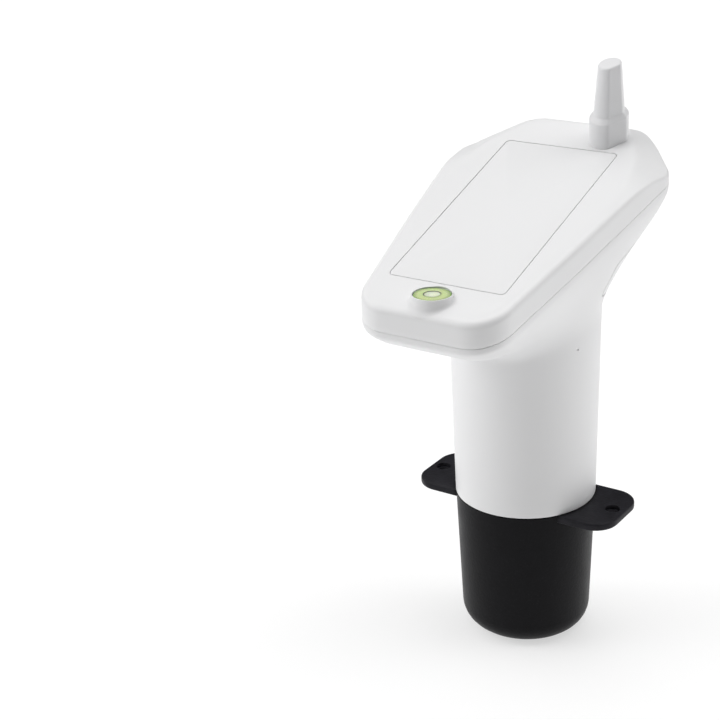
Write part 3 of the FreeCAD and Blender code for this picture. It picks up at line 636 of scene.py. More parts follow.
# Hidden parts. CAD node: material, colour, second colour, gloss from and to, (grain size, grain depth
# and patch size in millimetres), metal or not
INSIDE = {
    "cup_seal": ("seal_rubber", (0.025, 0.025, 0.027), (0.04, 0.04, 0.04), (0.55, 0.75), (0.4, 0.01, 3.0), 0),
    "transducer_sleeve": ("sleeve_rubber", (0.03, 0.03, 0.032), (0.05, 0.05, 0.05), (0.5, 0.7), (0.5, 0.01, 3.0), 0),
    "cover_gasket": ("gasket_rubber", (0.09, 0.09, 0.095), (0.13, 0.13, 0.13), (0.5, 0.7), (0.3, 0.01, 2.0), 0),
    "antenna_rod": ("rod_brass", (0.78, 0.56, 0.24), (0.66, 0.45, 0.18), (0.2, 0.35), (0.3, 0.003, 2.0), 1),
    "main_board": ("board_laminate", (0.012, 0.14, 0.05), (0.02, 0.22, 0.08), (0.3, 0.42), (0.4, 0.008, 1.2), 0),
    "radio_module": ("shield_metal", (0.62, 0.62, 0.60), (0.52, 0.52, 0.51), (0.22, 0.34), (0.3, 0.002, 2.0), 1),
    "control_chip": ("chip_black", (0.02, 0.02, 0.022), (0.035, 0.035, 0.035), (0.45, 0.6), (0.2, 0.005, 1.0), 0),
    "lead_socket": ("socket_plastic", (0.72, 0.70, 0.62), (0.66, 0.64, 0.56), (0.4, 0.5), (0.4, 0.006, 2.0), 0),
    "battery_tray": ("tray_plastic", (0.035, 0.035, 0.038), (0.05, 0.05, 0.053), (0.42, 0.56), (0.6, 0.03, 5.0), 0),
    "clamp_ring": ("clamp_plastic", (0.04, 0.04, 0.043), (0.055, 0.055, 0.058), (0.42, 0.56), (0.6, 0.03, 5.0), 0),
    "contact_plates": ("contact_steel", (0.66, 0.64, 0.60), (0.55, 0.53, 0.50), (0.2, 0.34), (0.3, 0.002, 2.0), 1),
    "switch_body": ("switch_plastic", (0.05, 0.05, 0.055), (0.07, 0.07, 0.075), (0.4, 0.5), (0.4, 0.01, 2.0), 0),
    "pair_button": ("button_plastic", (0.55, 0.05, 0.03), (0.46, 0.04, 0.025), (0.3, 0.42), (0.4, 0.006, 2.0), 0),
    "transducer": ("sounder_metal", (0.50, 0.51, 0.52), (0.40, 0.41, 0.42), (0.28, 0.42), (0.4, 0.004, 3.0), 1),
    "sensor_lead": ("lead_jacket", (0.03, 0.03, 0.032), (0.05, 0.05, 0.05), (0.4, 0.55), (0.5, 0.01, 4.0), 0),
}


def dress(*names):
    """Give CAD nodes that stay in place their own finish."""
    for name in names:
        label, colour, other, rough, grain, metal = INSIDE[name]
        material = plastic(label, colour, other, rough, *(size * MM for size in grain), metal, 0.0001)
        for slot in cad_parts[name].material_slots:
            slot.material = material


# Lid

def bevel_levels():
    """The bevel's outline at rising depths, as sorted angles and radii round the tube's axis."""
    top, _ = rounded(mirrored(BEVEL_TOP), BEVEL_STEPS)
    foot, _ = rounded(mirrored(BEVEL_FOOT), BEVEL_STEPS)
    levels = []
    for share in np.linspace(0.0, 1.0, BEVEL_RINGS):
        ring = top + (foot - top) * share
        ahead = np.roll(ring, -1, axis=0)
        fine = np.vstack([ring + (ahead - ring) * k / BEVEL_STEPS for k in range(BEVEL_STEPS)])
        angle = np.arctan2(fine[:, 1], fine[:, 0])
        order = np.argsort(angle)
        levels.append((angle[order], np.hypot(*fine[order].T)))
    return levels


BEVEL_LEVELS = bevel_levels()


def bevel_drop(points):
    """Depth of the bevel under the top plane, negative inside its upper edge, and its steepness."""
    angle = np.arctan2(points[:, 1], points[:, 0])
    r = np.hypot(points[:, 0], points[:, 1])
    radii = np.array([np.interp(angle, a, b, period=2 * math.pi) for a, b in BEVEL_LEVELS])
    count = len(radii)
    k = np.clip((r >= radii).sum(axis=0) - 1, 0, count - 2)
    here = np.arange(len(r))
    share = (r - radii[k, here]) / (radii[k + 1, here] - radii[k, here])
    steep = SEAM / (radii[-1] - radii[0])
    return (k + share) * SEAM / (count - 1), steep


def soft_max(a, b, k):
    """The larger of two depths, blended where they are close."""
    near = np.maximum(k - np.abs(a - b), 0) / k
    return np.maximum(a, b) + near * near * k / 4


def crown_drop(points):
    """Depth of the lid's upper face, top plane and bevel blended over a soft crease."""
    drop, steep = bevel_drop(points)
    return soft_max(np.zeros(len(drop)), drop, np.maximum(CREASE_R * steep ** 2 / 2, 0.05))


def quarter(radius, distance):
    """Depth of a rounded edge at a distance in from its wall."""
    return radius - np.sqrt(radius ** 2 - np.maximum(radius - distance, 0.0) ** 2)


def lid_drop(points, distance):
    """Depth of the lid's outside at a distance in from its wall."""
    crown = crown_drop(points)
    rim = quarter(RIM_R, distance) + np.zeros(len(crown))
    edge = quarter(SOFT_EDGE, distance) * np.clip(crown / RIM_R, 0, 1)
    return np.minimum(soft_max(crown, rim, RIM_BLEND) + edge, SEAM - LID_FACE)


HEAD_LINE, HEAD_OUT = spaced(*rounded(mirrored(HEAD)), AROUND)


def head_at(inset):
    """The head's outline, drawn in by an inset."""
    return HEAD_LINE - HEAD_OUT * inset


def seam_steps(edge):
    """Small rounding at an edge: (inset, distance back from the edge) in four steps."""
    return [(edge * (1 - math.sin(a)), edge * (1 - math.cos(a))) for a in
            [math.radians(30 * k) for k in range(4)]]


def lid_shell():
    """The lid's shell: outside from the seam up to the middle, and back down inside."""
    edge = sizes().seam_edge / MM
    rows = [laid(head_at(inset), SEAM - back) for inset, back in seam_steps(edge)]
    rim = lid_drop(head_at(0.0), 0.0)
    for share in (0.25, 0.5, 0.75):
        rows.append(laid(head_at(0.0), (SEAM - edge) * (1 - share) + rim * share))
    insets = [RIM_R * (1 - math.cos(math.radians(7.5 * k))) for k in range(13)] + [RIM_R + RIM_BLEND]
    rows += [laid(head_at(inset), lid_drop(head_at(inset), inset)) for inset in insets]
    border = head_at(RIM_R + RIM_BLEND)
    for share in np.linspace(1.0, 0.0, 50)[1:-1]:
        rows.append(laid(border * share, crown_drop(border * share)))
    under = WALL / math.cos(TILT)
    rows += [laid(AXIS, 0.0), laid(AXIS, under)]
    inner = head_at(WALL + INSIDE_R)
    for share in np.linspace(0.0, 1.0, 30)[1:]:
        rows.append(laid(inner * share, crown_drop(inner * share) + under))
    wall = head_at(WALL)
    high = np.minimum(crown_drop(wall) + under + INSIDE_R, SEAM - INSIDE_FACE)
    return skin("top_cover", rows + [laid(wall, high), laid(wall, SEAM)], loop=True)


def plate_form(name, gap, low, high, edge):
    """Rounded rectangle set in the lid, with a small rounding at its upper edge."""
    corners = ((PLATE_HALF, PLATE_FRONT, PLATE_R), (PLATE_HALF, PLATE_BACK, PLATE_R))
    points, outs = spaced(*rounded(mirrored(corners)), 240)
    middle = np.array([[0.0, (PLATE_FRONT + PLATE_BACK) / 2]])
    steps = [(gap, high)]
    if edge:
        steps = [(gap + inset, high + back) for inset, back in reversed(seam_steps(edge))]
    rows = [laid(points - outs * inset, drop) for inset, drop in [(gap, low)] + steps]
    return skin(name, [laid(middle, low)] + rows + [laid(middle, high)])


def holder_root():
    """Small fillet where the level's holder rises out of the sloping lid."""
    around = circle(160)
    inner = HOLDER_R - ROOT_LAP
    room = LEVEL_TOP - ROOT_LAP - top_z(LEVEL_Y + HOLDER_R * around[:, 1])
    room = np.clip(room, 0.05, ROOT_R) / ROOT_R

    def ring(r, lift):
        flat = around * (inner + (r - inner) * room[:, None]) + (0.0, LEVEL_Y)
        walls = np.hypot(*(flat[:, None] - HEAD_LINE[None]).transpose(2, 0, 1)).min(axis=1)
        return laid(flat, lid_drop(flat, walls) - lift * room)
    rows = [ring(HOLDER_R + ROOT_R * (1 - math.cos(a)), ROOT_R * (1 - math.sin(a)))
            for a in np.linspace(math.pi / 2, 0.0, 8)]
    return skin("root", [ring(HOLDER_R + ROOT_R, -ROOT_SINK)] + rows
                + [ring(inner, ROOT_R), ring(inner, -ROOT_SINK)], loop=True)


def make_cover():
    """Lid with its level holder, plate recess, screw bosses and board posts."""
    lid = lid_shell()
    holder = ((0.0, HOLDER_FOOT, 0.0), (HOLDER_R, HOLDER_FOOT, 0.0), (HOLDER_R, LEVEL_TOP, 0.2),
              (6.0, LEVEL_TOP, 0.0), (0.0, LEVEL_TOP, 0.0))
    combine(lid, turned("holder", soft_path(holder), 160, y=LEVEL_Y, loop=False), "UNION")
    combine(lid, holder_root(), "UNION")
    at_places(lid, LID_BOSS, LID_SCREWS, SEAM, "UNION")
    at_places(lid, BOARD_POST, BOARD_SCREWS, BOARD_DROP, "UNION")
    at_places(lid, LID_HOLE, LID_SCREWS, SEAM, "DIFFERENCE")
    at_places(lid, POST_HOLE, BOARD_SCREWS, BOARD_DROP, "DIFFERENCE")
    combine(lid, plate_form("recess", 0.0, PLATE_DEEP, -2.0, 0.0), "DIFFERENCE")
    combine(lid, rod("bore", *VIAL_BORE, 160, y=LEVEL_Y), "DIFFERENCE")
    return combine(lid, rod("stem_hole", *STEM_HOLE, 64, ANTENNA_X, ANTENNA_Y), "DIFFERENCE")


# Neck and tube

def cubic(knots):
    """Smooth curve through knots, as a function."""
    x, y = np.array(knots, float).T
    h = np.diff(x)
    n = len(x)
    a, b = np.eye(n), np.zeros(n)
    for i in range(1, n - 1):
        a[i, i - 1:i + 2] = h[i - 1], 2 * (h[i - 1] + h[i]), h[i]
        b[i] = 6 * ((y[i + 1] - y[i]) / h[i] - (y[i] - y[i - 1]) / h[i - 1])
    m = np.linalg.solve(a, b)

    def curve(t):
        i = int(np.clip(np.searchsorted(x, t) - 1, 0, n - 2))
        u, v = x[i + 1] - t, t - x[i]
        return float(m[i] * u ** 3 / (6 * h[i]) + m[i + 1] * v ** 3 / (6 * h[i])
                     + (y[i] / h[i] - m[i] * h[i] / 6) * u + (y[i + 1] / h[i] - m[i + 1] * h[i] / 6) * v)
    return curve


NECK_SHARE = cubic(NECK)
HEAD_ANGLE = np.arctan2(HEAD_LINE[:, 1], HEAD_LINE[:, 0])
HEAD_REACH = np.hypot(HEAD_LINE[:, 0], HEAD_LINE[:, 1])


def neck_row(drop, share, inset, draw_in=0.0):
    """Curve round the neck: share 0 lies on the tube and share 1 on the lip."""
    deep = drop - inset
    near = tube_r(top_z(TUBE_FOOT_R * np.sin(HEAD_ANGLE)) - deep) - inset
    reach = near + share * (HEAD_REACH - inset - near) - draw_in
    points = np.column_stack([reach * np.cos(HEAD_ANGLE), reach * np.sin(HEAD_ANGLE)])
    return laid(points, deep)


def foot_row(z, inset):
    """Curve round the tube at a height, with a point at each of the neck's angles."""
    r = tube_r(z) - inset
    return level(np.column_stack([r * np.cos(HEAD_ANGLE), r * np.sin(HEAD_ANGLE)]), z)


def neck_steps():
    """(depth, share) down the neck, with the lip's lower corner softened."""
    start, end, last = LIP_END - LIP_RISE, LIP_END + LIP_FALL, NECK[-1][0]
    steps = []
    for t in np.linspace(0.0, 1.0, 7):
        drop = (1 - t) ** 2 * start + 2 * t * (1 - t) * LIP_END + t ** 2 * end
        share = (1 - t) ** 2 + 2 * t * (1 - t) + t ** 2 * NECK_SHARE(end)
        steps.append((drop, share))
    steps += [(drop, NECK_SHARE(drop)) for drop in np.arange(end + 1.0, last, 1.0)]
    return steps + [(last, 0.0)]


def neck_side(inset, foot_z, lip_from, fine=True):
    """Rows up the outside or the inside of tube, neck and lip."""
    steps = neck_steps()
    if not fine:
        steps = [(LIP_END, 1.0)] + [s for s in steps if s[0] > LIP_END + 1.2][::COARSE_STEP] + steps[-1:]
    rows = [neck_row(drop, share, inset) for drop, share in reversed(steps)]
    foot = foot_row(foot_z, inset)
    tube = [foot + (rows[0] - foot) * share for share in np.linspace(0.0, 1.0, 22)[:-1]]
    return tube + rows + [neck_row(lip_from + inset, 1.0, inset)]


def housing_shell():
    """Tube, neck and pan as one shell."""
    edge = sizes().seam_edge / MM
    foot = [foot_row(FOOT_Z + back, inset) for inset, back in seam_steps(edge)]
    outer = neck_side(0.0, FOOT_Z + edge, SEAM + edge)
    rim = [neck_row(SEAM + back, 1.0, 0.0, inset) for inset, back in reversed(seam_steps(edge))]
    inner = neck_side(WALL, FOOT_Z, SEAM, fine=False)
    return skin("lower_housing", foot[:-1] + outer + rim[1:] + inner[::-1], loop=True)


def neck_solid():
    """Tube, neck and lip as a solid form."""
    low, high = FOOT_Z - 10.0, SEAM - 1.0
    return skin("form", [level(AXIS, low)] + neck_side(0.0, low, high, fine=False) + [laid(AXIS, high)])


def neck_layer(name, outside, inside, fine):
    """Layer of the neck between two insets, from below the door up to the lip."""
    outer, inner = (neck_side(inset, DOOR_FORM_FOOT, LIP_END - LIP_RISE, fine) for inset in (outside, inside))
    return skin(name, outer + inner[::-1], loop=True)


def door_prism(shrink):
    """Block across the neck with the door's outline, drawn in on every side."""
    corners = [(y, z, DOOR_CORNER_R) for y, z in DOOR]
    points, outs = spaced(*rounded(corners), 160)
    points = points - outs * shrink
    centre = points.mean(axis=0, keepdims=True)
    rows = [np.column_stack([np.full(len(flat), x), flat])
            for x, flat in ((-60.0, centre), (-60.0, points), (60.0, points), (60.0, centre))]
    return skin("window", rows)


def make_housing():
    """Housing with its screw bosses and wells, the door's opening and the vent."""
    housing = housing_shell()
    for x, y in both_sides(LID_SCREWS):
        boss = combine(moved(rod("boss", *PAN_BOSS), square_on(x, y, SEAM)), neck_solid(), "INTERSECT")
        combine(housing, boss, "UNION")
    at_places(housing, PAN_WELL, LID_SCREWS, SEAM, "DIFFERENCE")
    at_places(housing, PAN_HOLE, LID_SCREWS, SEAM, "DIFFERENCE")
    rebate = combine(neck_layer("rebate", -3.0, DOOR_SKIN + DOOR_PLAY, False), door_prism(0.0), "INTERSECT")
    combine(housing, rebate, "DIFFERENCE")
    combine(housing, door_prism(DOOR_LEDGE), "DIFFERENCE")
    across = Matrix.Rotation(VENT_ANGLE, 4, "Z") @ Matrix.Rotation(math.radians(90), 4, "Y")
    vent = moved(rod("vent", *VENT, 16), Matrix.Translation((0, 0, VENT_Z)) @ across)
    return combine(housing, vent, "DIFFERENCE")


def make_door():
    """Curved door flush with the neck."""
    gap = sizes().door_gap / MM
    return combine(neck_layer("battery_door", 0.0, DOOR_SKIN, True), door_prism(gap), "INTERSECT")


# Trees of Geometry Nodes

def new_tree(name, inputs):
    """Empty tree with a geometry input, the named inputs and a geometry output."""
    tree = bpy.data.node_groups.new(name, "GeometryNodeTree")
    tree.interface.new_socket("Geometry", in_out="INPUT", socket_type="NodeSocketGeometry")
    for label, kind in inputs:
        tree.interface.new_socket(label, in_out="INPUT", socket_type="NodeSocket" + kind)
    tree.interface.new_socket("Geometry", in_out="OUTPUT", socket_type="NodeSocketGeometry")
    return tree


def close_tree(tree, geometry, material):
    """Realize what was made, give it its material and send it out."""
    real = node(tree, "RealizeInstances", {"Geometry": geometry})
    painted = node(tree, "SetMaterial", {"Geometry": real.outputs["Geometry"], "Material": material})
    out = tree.nodes.new("NodeGroupOutput")
    tree.links.new(painted.outputs["Geometry"], out.inputs["Geometry"])


def grown(piece, tree, values):
    """Run a tree on a piece and keep the result as a plain mesh."""
    step = piece.modifiers.new(tree.name, "NODES")
    step.node_group = tree
    for item in tree.interface.items_tree:
        if item.item_type == "SOCKET" and item.in_out == "INPUT" and item.name in values:
            step[item.identifier] = values[item.name]
    return settle(piece)


def screws_tree():
    """A screw stood on each point of a mesh, all turned the same way."""
    tree = new_tree("Screw set", (("Screw", "Object"), ("Turn", "Rotation"), ("Material", "Material")))
    given = tree.nodes.new("NodeGroupInput")
    info = node(tree, "ObjectInfo", {"Object": given.outputs["Screw"]})
    points = node(tree, "MeshToPoints", {"Mesh": given.outputs["Geometry"]})
    stood = node(tree, "InstanceOnPoints", {"Points": points.outputs["Points"],
                                           "Instance": info.outputs["Geometry"],
                                           "Rotation": given.outputs["Turn"]})
    close_tree(tree, stood.outputs["Instances"], given.outputs["Material"])
    return tree


def ribs_tree():
    """A flat bar swept along each line of a mesh."""
    tree = new_tree("Door ribs", (("Width", "Float"), ("Depth", "Float"), ("Material", "Material")))
    given = tree.nodes.new("NodeGroupInput")
    lines = node(tree, "MeshToCurve", {"Mesh": given.outputs["Geometry"]})
    bar = node(tree, "CurvePrimitiveQuadrilateral",
               {"Width": given.outputs["Depth"], "Height": given.outputs["Width"]})
    swept = node(tree, "CurveToMesh", {"Curve": lines.outputs["Curve"], "Profile Curve": bar.outputs["Curve"],
                                       "Fill Caps": True})
    close_tree(tree, swept.outputs["Mesh"], given.outputs["Material"])
    return tree


def spring_tree():
    """A wire wound into a cone."""
    floats = [(label, "Float") for label in ("Turns", "Foot radius", "Tip radius", "Length", "Wire radius")]
    tree = new_tree("Battery spring", floats + [("Material", "Material")])
    given = tree.nodes.new("NodeGroupInput")
    coil = node(tree, "CurveSpiral", {"Resolution": 24, "Rotations": given.outputs["Turns"],
                                      "Start Radius": given.outputs["Foot radius"],
                                      "End Radius": given.outputs["Tip radius"],
                                      "Height": given.outputs["Length"], "Reverse": False})
    wire = node(tree, "CurvePrimitiveCircle", {"Resolution": 10, "Radius": given.outputs["Wire radius"]})
    swept = node(tree, "CurveToMesh", {"Curve": coil.outputs["Curve"], "Profile Curve": wire.outputs["Curve"],
                                       "Fill Caps": True})
    close_tree(tree, swept.outputs["Mesh"], given.outputs["Material"])
    return tree


# Small parts

def merged(name, pieces):
    """Several pieces as one mesh."""
    rows, faces = [], []
    for piece in pieces:
        start = len(rows)
        rows += [tuple(v.co) for v in piece.data.vertices]
        faces += [tuple(start + k for k in p.vertices) for p in piece.data.polygons]
        bpy.data.objects.remove(piece)
    mesh = bpy.data.meshes.new(name)
    mesh.from_pydata(rows, [], faces)
    return added(name, mesh)


def make_ribs(material):
    """Upright ribs that follow the inside of the door's skin."""
    rows = neck_side(DOOR_SKIN, DOOR_FORM_FOOT, LIP_END - LIP_RISE)
    points, edges = [], []
    for x in RIB_PLACES:
        start = len(points)
        for row in rows:
            back = row[row[:, 1] > 5.0]
            back = back[np.argsort(back[:, 0])]
            y, z = (float(np.interp(x, back[:, 0], back[:, k])) for k in (1, 2))
            points.append((x, y - RIB_BACK, z))
        edges += [(k, k + 1) for k in range(start, len(points) - 1)]
    ribs = grown(point_mesh("door_ribs", points, edges), ribs_tree(),
                 {"Width": sizes().rib_width, "Depth": RIB_DEEP * MM, "Material": material})
    return combine(ribs, door_prism(DOOR_LEDGE + DOOR_PLAY), "INTERSECT")


def make_cell(name, side):
    """Round battery cell with a nub, lying across the tray."""
    cell = turned(name, soft_path(CELL), 96, loop=False)
    moved(cell, Matrix.Rotation(math.radians(90 * side), 4, "Y"))
    return moved(cell, TRAY @ Matrix.Translation((0, side * CELL_PITCH / 2, 0)))


def contact_plate():
    """Square plate with softened edges under a spring, its face at height 0."""
    corners = ((CONTACT_HALF, -CONTACT_HALF, CONTACT_R), (CONTACT_HALF, CONTACT_HALF, CONTACT_R))
    points, outs = spaced(*rounded(mirrored(corners)), 64)
    small = points - outs * CONTACT_EDGE
    rows = ((AXIS, -CONTACT_THICK), (small, -CONTACT_THICK), (points, CONTACT_EDGE - CONTACT_THICK),
            (points, -CONTACT_EDGE), (small, 0.0), (AXIS, 0.0))
    return skin("plate", [level(flat, z) for flat, z in rows])


def make_springs(material):
    """Wound springs at the cells' flat ends, each on its own plate."""
    parts = []
    face = CELL_ROOM - CONTACT_THICK
    for side in (1, -1):
        seed = skin("spring", [level(np.array([[0.1, 0], [0, 0.1], [-0.1, 0]]), 0.0), np.zeros((1, 3))])
        coil = grown(seed, spring_tree(), {"Turns": sizes().spring_turns, "Foot radius": SPRING_FOOT_R * MM,
                                           "Tip radius": SPRING_TIP_R * MM,
                                           "Length": (face - CELL_END - 2 * WIRE_R) * MM,
                                           "Wire radius": WIRE_R * MM, "Material": material})
        moved(coil, Matrix.Translation((0, 0, WIRE_R)))
        for part in (coil, contact_plate()):
            moved(part, Matrix.Rotation(math.radians(90 * side), 4, "Y"))
            moved(part, TRAY @ Matrix.Translation((-side * face, side * CELL_PITCH / 2, 0)))
            parts.append(part)
    return merged("contact_springs", parts)


def screw_form(shank_r, length, head_r, head):
    """Screw that points up from its head's seat, with a six-sided drive socket and a cut thread."""
    pitch = sizes().thread_pitch / MM
    around = circle(30)
    angles = np.arange(30) * 2 * math.pi / 30
    corner = np.cos(math.pi / 6) / np.cos((angles % (math.pi / 3)) - math.pi / 6)

    def ring(r, z):
        return level(around * np.reshape(r, (-1, 1)), z)

    socket = head_r * 0.5 * corner
    rows = [level(AXIS, -head * 0.45), ring(socket, -head * 0.5), ring(socket, -head)]
    for a in np.linspace(0, math.pi / 2, 6):
        rows.append(ring(head_r - head * 0.45 * (1 - math.sin(a)), -head * 0.55 - head * 0.45 * math.cos(a)))
    rows += [ring(head_r, 0.0), ring(shank_r, 0.0), ring(shank_r, 0.5)]
    depth = shank_r * 0.16
    for z in np.arange(0.7, length - 0.6, pitch / 6):
        turn = (z / pitch - angles / (2 * math.pi)) % 1.0
        ridge = 1.0 - np.abs(turn - 0.5) * 2
        rows.append(ring(shank_r - depth + depth * np.clip(ridge * 1.4, 0, 1), z))
    rows += [ring(shank_r * 0.72, length - 0.25), ring(shank_r * 0.4, length), level(AXIS, length)]
    return skin("screw", rows)


def screw_set(name, places, turn, kind, steel):
    """A set of like screws, made by the screw tree and kept as one mesh."""
    screw = screw_form(*kind)
    piece = grown(point_mesh(name, places), screws_tree(), {"Screw": screw, "Turn": turn, "Material": steel})
    bpy.data.objects.remove(screw)
    return finish(piece, steel, "gauge", [name])


def clamp_places():
    """Places of the clamp's screws round the sounder."""
    return [(CLAMP_R * math.cos(math.radians(a)), CLAMP_R * math.sin(math.radians(a))) for a in CLAMP_ANGLES]


def make_cup():
    """Cup, ears and spigot in one moulding."""
    cup = turned("mounting_cup", soft_path(CUP, closed=True), 256)
    points, outs = spaced(*rounded(mirrored(((EAR_X, -EAR_Y, EAR_R), (EAR_X, EAR_Y, EAR_R)))), 320)
    steps = seam_steps(EAR_EDGE)
    rows = [level(points - outs * inset, back) for inset, back in steps]
    rows += [level(points - outs * inset, EAR_TALL - back) for inset, back in reversed(steps)]
    ears = skin("ears", [level(AXIS, 0.0)] + rows + [level(AXIS, EAR_TALL)])
    combine(ears, rod("room", *EAR_ROOM, 96), "DIFFERENCE")
    combine(cup, ears, "UNION")
    for x, y in clamp_places():
        combine(cup, rod("boss", *CLAMP_BOSS, x=x, y=y), "UNION")
        combine(cup, rod("hole", *CLAMP_HOLE, x=x, y=y), "DIFFERENCE")
    combine(cup, rod("bore", *SOUNDER_BORE, 96), "DIFFERENCE")
    for x in (EAR_HOLE_X, -EAR_HOLE_X):
        combine(cup, rod("hole", *EAR_HOLE, 64, x), "DIFFERENCE")
        combine(cup, rod("sink", *EAR_SINK, 64, x), "DIFFERENCE")
    return cup


def stub_section(r):
    """Points of a round section with one flat, blended softly into the round."""
    around = circle(144)
    ahead = around @ (math.cos(FLAT_ANGLE), math.sin(FLAT_ANGLE))
    reach = -soft_max(np.full(len(ahead), -1.0), -FLAT_SHARE / np.maximum(ahead, 0.2), FLAT_BLEND)
    return around * r * reach[:, None]


def make_antenna():
    """Stub with a collar, a sloping shoulder and a tapered mast, all flattened on one side."""
    place = np.array([ANTENNA_X, ANTENNA_Y])
    rows = [laid(place, 0.0)]
    for r, height in soft_path(MAST)[:-1]:
        rows.append(laid(place + stub_section(r), -height))
    top = -MAST[-1][1]
    stub = skin("antenna_cap", rows + [laid(place + stub_section(MAST_CAP_R), top), laid(place, top)])
    combine(stub, rod("stem", *STEM, 64, ANTENNA_X, ANTENNA_Y), "UNION")
    return combine(stub, rod("rod_bore", *ROD_BORE, 32, ANTENNA_X, ANTENNA_Y), "DIFFERENCE")


def dome_z(r):
    """Height of the vial's domed top at a radius."""
    return LEVEL_TOP - DOME_R + math.sqrt(DOME_R ** 2 - r ** 2)


def make_vial():
    """Clear vial, open below, with a slightly domed top and a softened rim."""
    base = LEVEL_TOP - VIAL_TALL
    inner_r = VIAL_R - VIAL_WALL
    path = [(inner_r, base), (VIAL_R, base), (VIAL_R, dome_z(VIAL_R) - 0.25),
            (VIAL_R - 0.08, dome_z(VIAL_R) - 0.08)]
    path += [(r, dome_z(r)) for r in np.linspace(VIAL_R - 0.25, 0.0, 12)]
    path += [(r, dome_z(r) - VIAL_ROOF) for r in np.linspace(0.0, inner_r - 0.1, 12)]
    path += [(inner_r, dome_z(inner_r) - VIAL_ROOF - 0.1)]
    return turned("level_vial", path, 128, y=LEVEL_Y)


def make_fluid():
    """Fluid that fills the vial, with the bubble's hollow under its roof."""
    base, r = LEVEL_TOP - VIAL_TALL, VIAL_R - VIAL_WALL - FLUID_PLAY
    under = VIAL_ROOF + FLUID_GAP
    ball = (BUBBLE_R ** 2 + BUBBLE_DEEP ** 2) / (2 * BUBBLE_DEEP)
    middle = dome_z(BUBBLE_R) - under - BUBBLE_DEEP + ball
    path = [(0.0, base), (r, base), (r, dome_z(r) - under - 0.1)]
    path += [(d, dome_z(d) - under) for d in np.linspace(r - 0.1, BUBBLE_R + 0.2, 8)]
    path += [(d, middle - math.sqrt(ball ** 2 - d ** 2)) for d in np.linspace(BUBBLE_R, 0.0, 14)]
    return turned("level_fluid", path, 128, y=LEVEL_Y, loop=False)


def make_mark():
    """Ring marked under the vial's roof."""
    middle, half = sizes().mark_radius / MM, sizes().mark_width / MM / 2
    top = dome_z(middle) - VIAL_ROOF - 0.02
    corners = [(middle + side * half, z, 0.02) for side, z in
               ((-1, top - MARK_THICK), (1, top - MARK_THICK), (1, top), (-1, top))]
    return turned("level_mark", soft_path(corners, closed=True), 128, y=LEVEL_Y)


# Operators

class Piece:
    """What every operator of the panel shares."""
    bl_options = {"REGISTER", "UNDO"}

    def execute(self, context):
        self.build()
        return {"FINISHED"}


class GAUGE_OT_housing(Piece, bpy.types.Operator):
    """Build the tube, neck and pan of the head as one smooth moulding"""
    bl_idname = "gauge.housing"
    bl_label = "Tube and pan"

    def build(self):
        finish(make_housing(), housing_plastic(), "gauge", ["lower_housing"])


class GAUGE_OT_door(Piece, bpy.types.Operator):
    """Build the battery door and the ribs inside it"""
    bl_idname = "gauge.door"
    bl_label = "Battery door"

    def build(self):
        paint = housing_plastic("door_plastic")
        finish(make_door(), paint, "door", ["battery_door"])
        finish(make_ribs(paint), paint, "door", [])


class GAUGE_OT_cover(Piece, bpy.types.Operator):
    """Build the sloping lid with its bevelled tail and its level holder"""
    bl_idname = "gauge.cover"
    bl_label = "Lid"

    def build(self):
        finish(make_cover(), housing_plastic("cover_plastic"), "gauge", ["top_cover"])


class GAUGE_OT_plate(Piece, bpy.types.Operator):
    """Build the blank plate that lies flush in the lid"""
    bl_idname = "gauge.plate"
    bl_label = "Blank plate"

    def build(self):
        plate = plate_form("label_plate", sizes().plate_gap / MM, PLATE_DEEP, 0.0, PLATE_EDGE)
        finish(plate, housing_plastic("plate_plastic"), "gauge", ["label_plate"])


class GAUGE_OT_level(Piece, bpy.types.Operator):
    """Build the round bubble level: vial, fluid and ring mark"""
    bl_idname = "gauge.level"
    bl_label = "Bubble level"

    def build(self):
        finish(make_vial(), clear_plastic(), "gauge", ["level_vial"])
        finish(make_fluid(), level_fluid(), "gauge", ["level_fluid"])
        finish(make_mark(), mark_paint(), "gauge", [])


class GAUGE_OT_antenna(Piece, bpy.types.Operator):
    """Build the antenna stub, round with one flat side"""
    bl_idname = "gauge.antenna"
    bl_label = "Antenna"

    def build(self):
        finish(make_antenna(), antenna_plastic(), "gauge", ["antenna_cap"], 30.0)


class GAUGE_OT_cup(Piece, bpy.types.Operator):
    """Build the black mounting cup with its two ears"""
    bl_idname = "gauge.cup"
    bl_label = "Mounting cup"

    def build(self):
        finish(make_cup(), cup_plastic(), "gauge", ["mounting_cup"])


class GAUGE_OT_screws(Piece, bpy.types.Operator):
    """Build the three sets of screws"""
    bl_idname = "gauge.screws"
    bl_label = "Screws"

    def build(self):
        steel = plastic("screw_steel", (0.62, 0.61, 0.58), (0.50, 0.50, 0.49), (0.22, 0.38), 0.0004, 0.000004,
                        0.002, metallic=1.0, edge=0.00005)
        for name, places, drop, kind in (
                ("cover_screws", LID_SCREWS, SEAM + BRIDGE / math.cos(TILT), LID_SCREW),
                ("board_screws", BOARD_SCREWS, BOARD_DROP + BOARD_THICK / math.cos(TILT), BOARD_SCREW)):
            seats = [square_on(x, y, drop).translation for x, y in both_sides(places)]
            screw_set(name, seats, (TILT, 0.0, 0.0), kind, steel)
        seats = [(x, y, CLAMP_Z) for x, y in clamp_places()]
        screw_set("clamp_screws", seats, (math.pi, 0.0, 0.0), CLAMP_SCREW, steel)


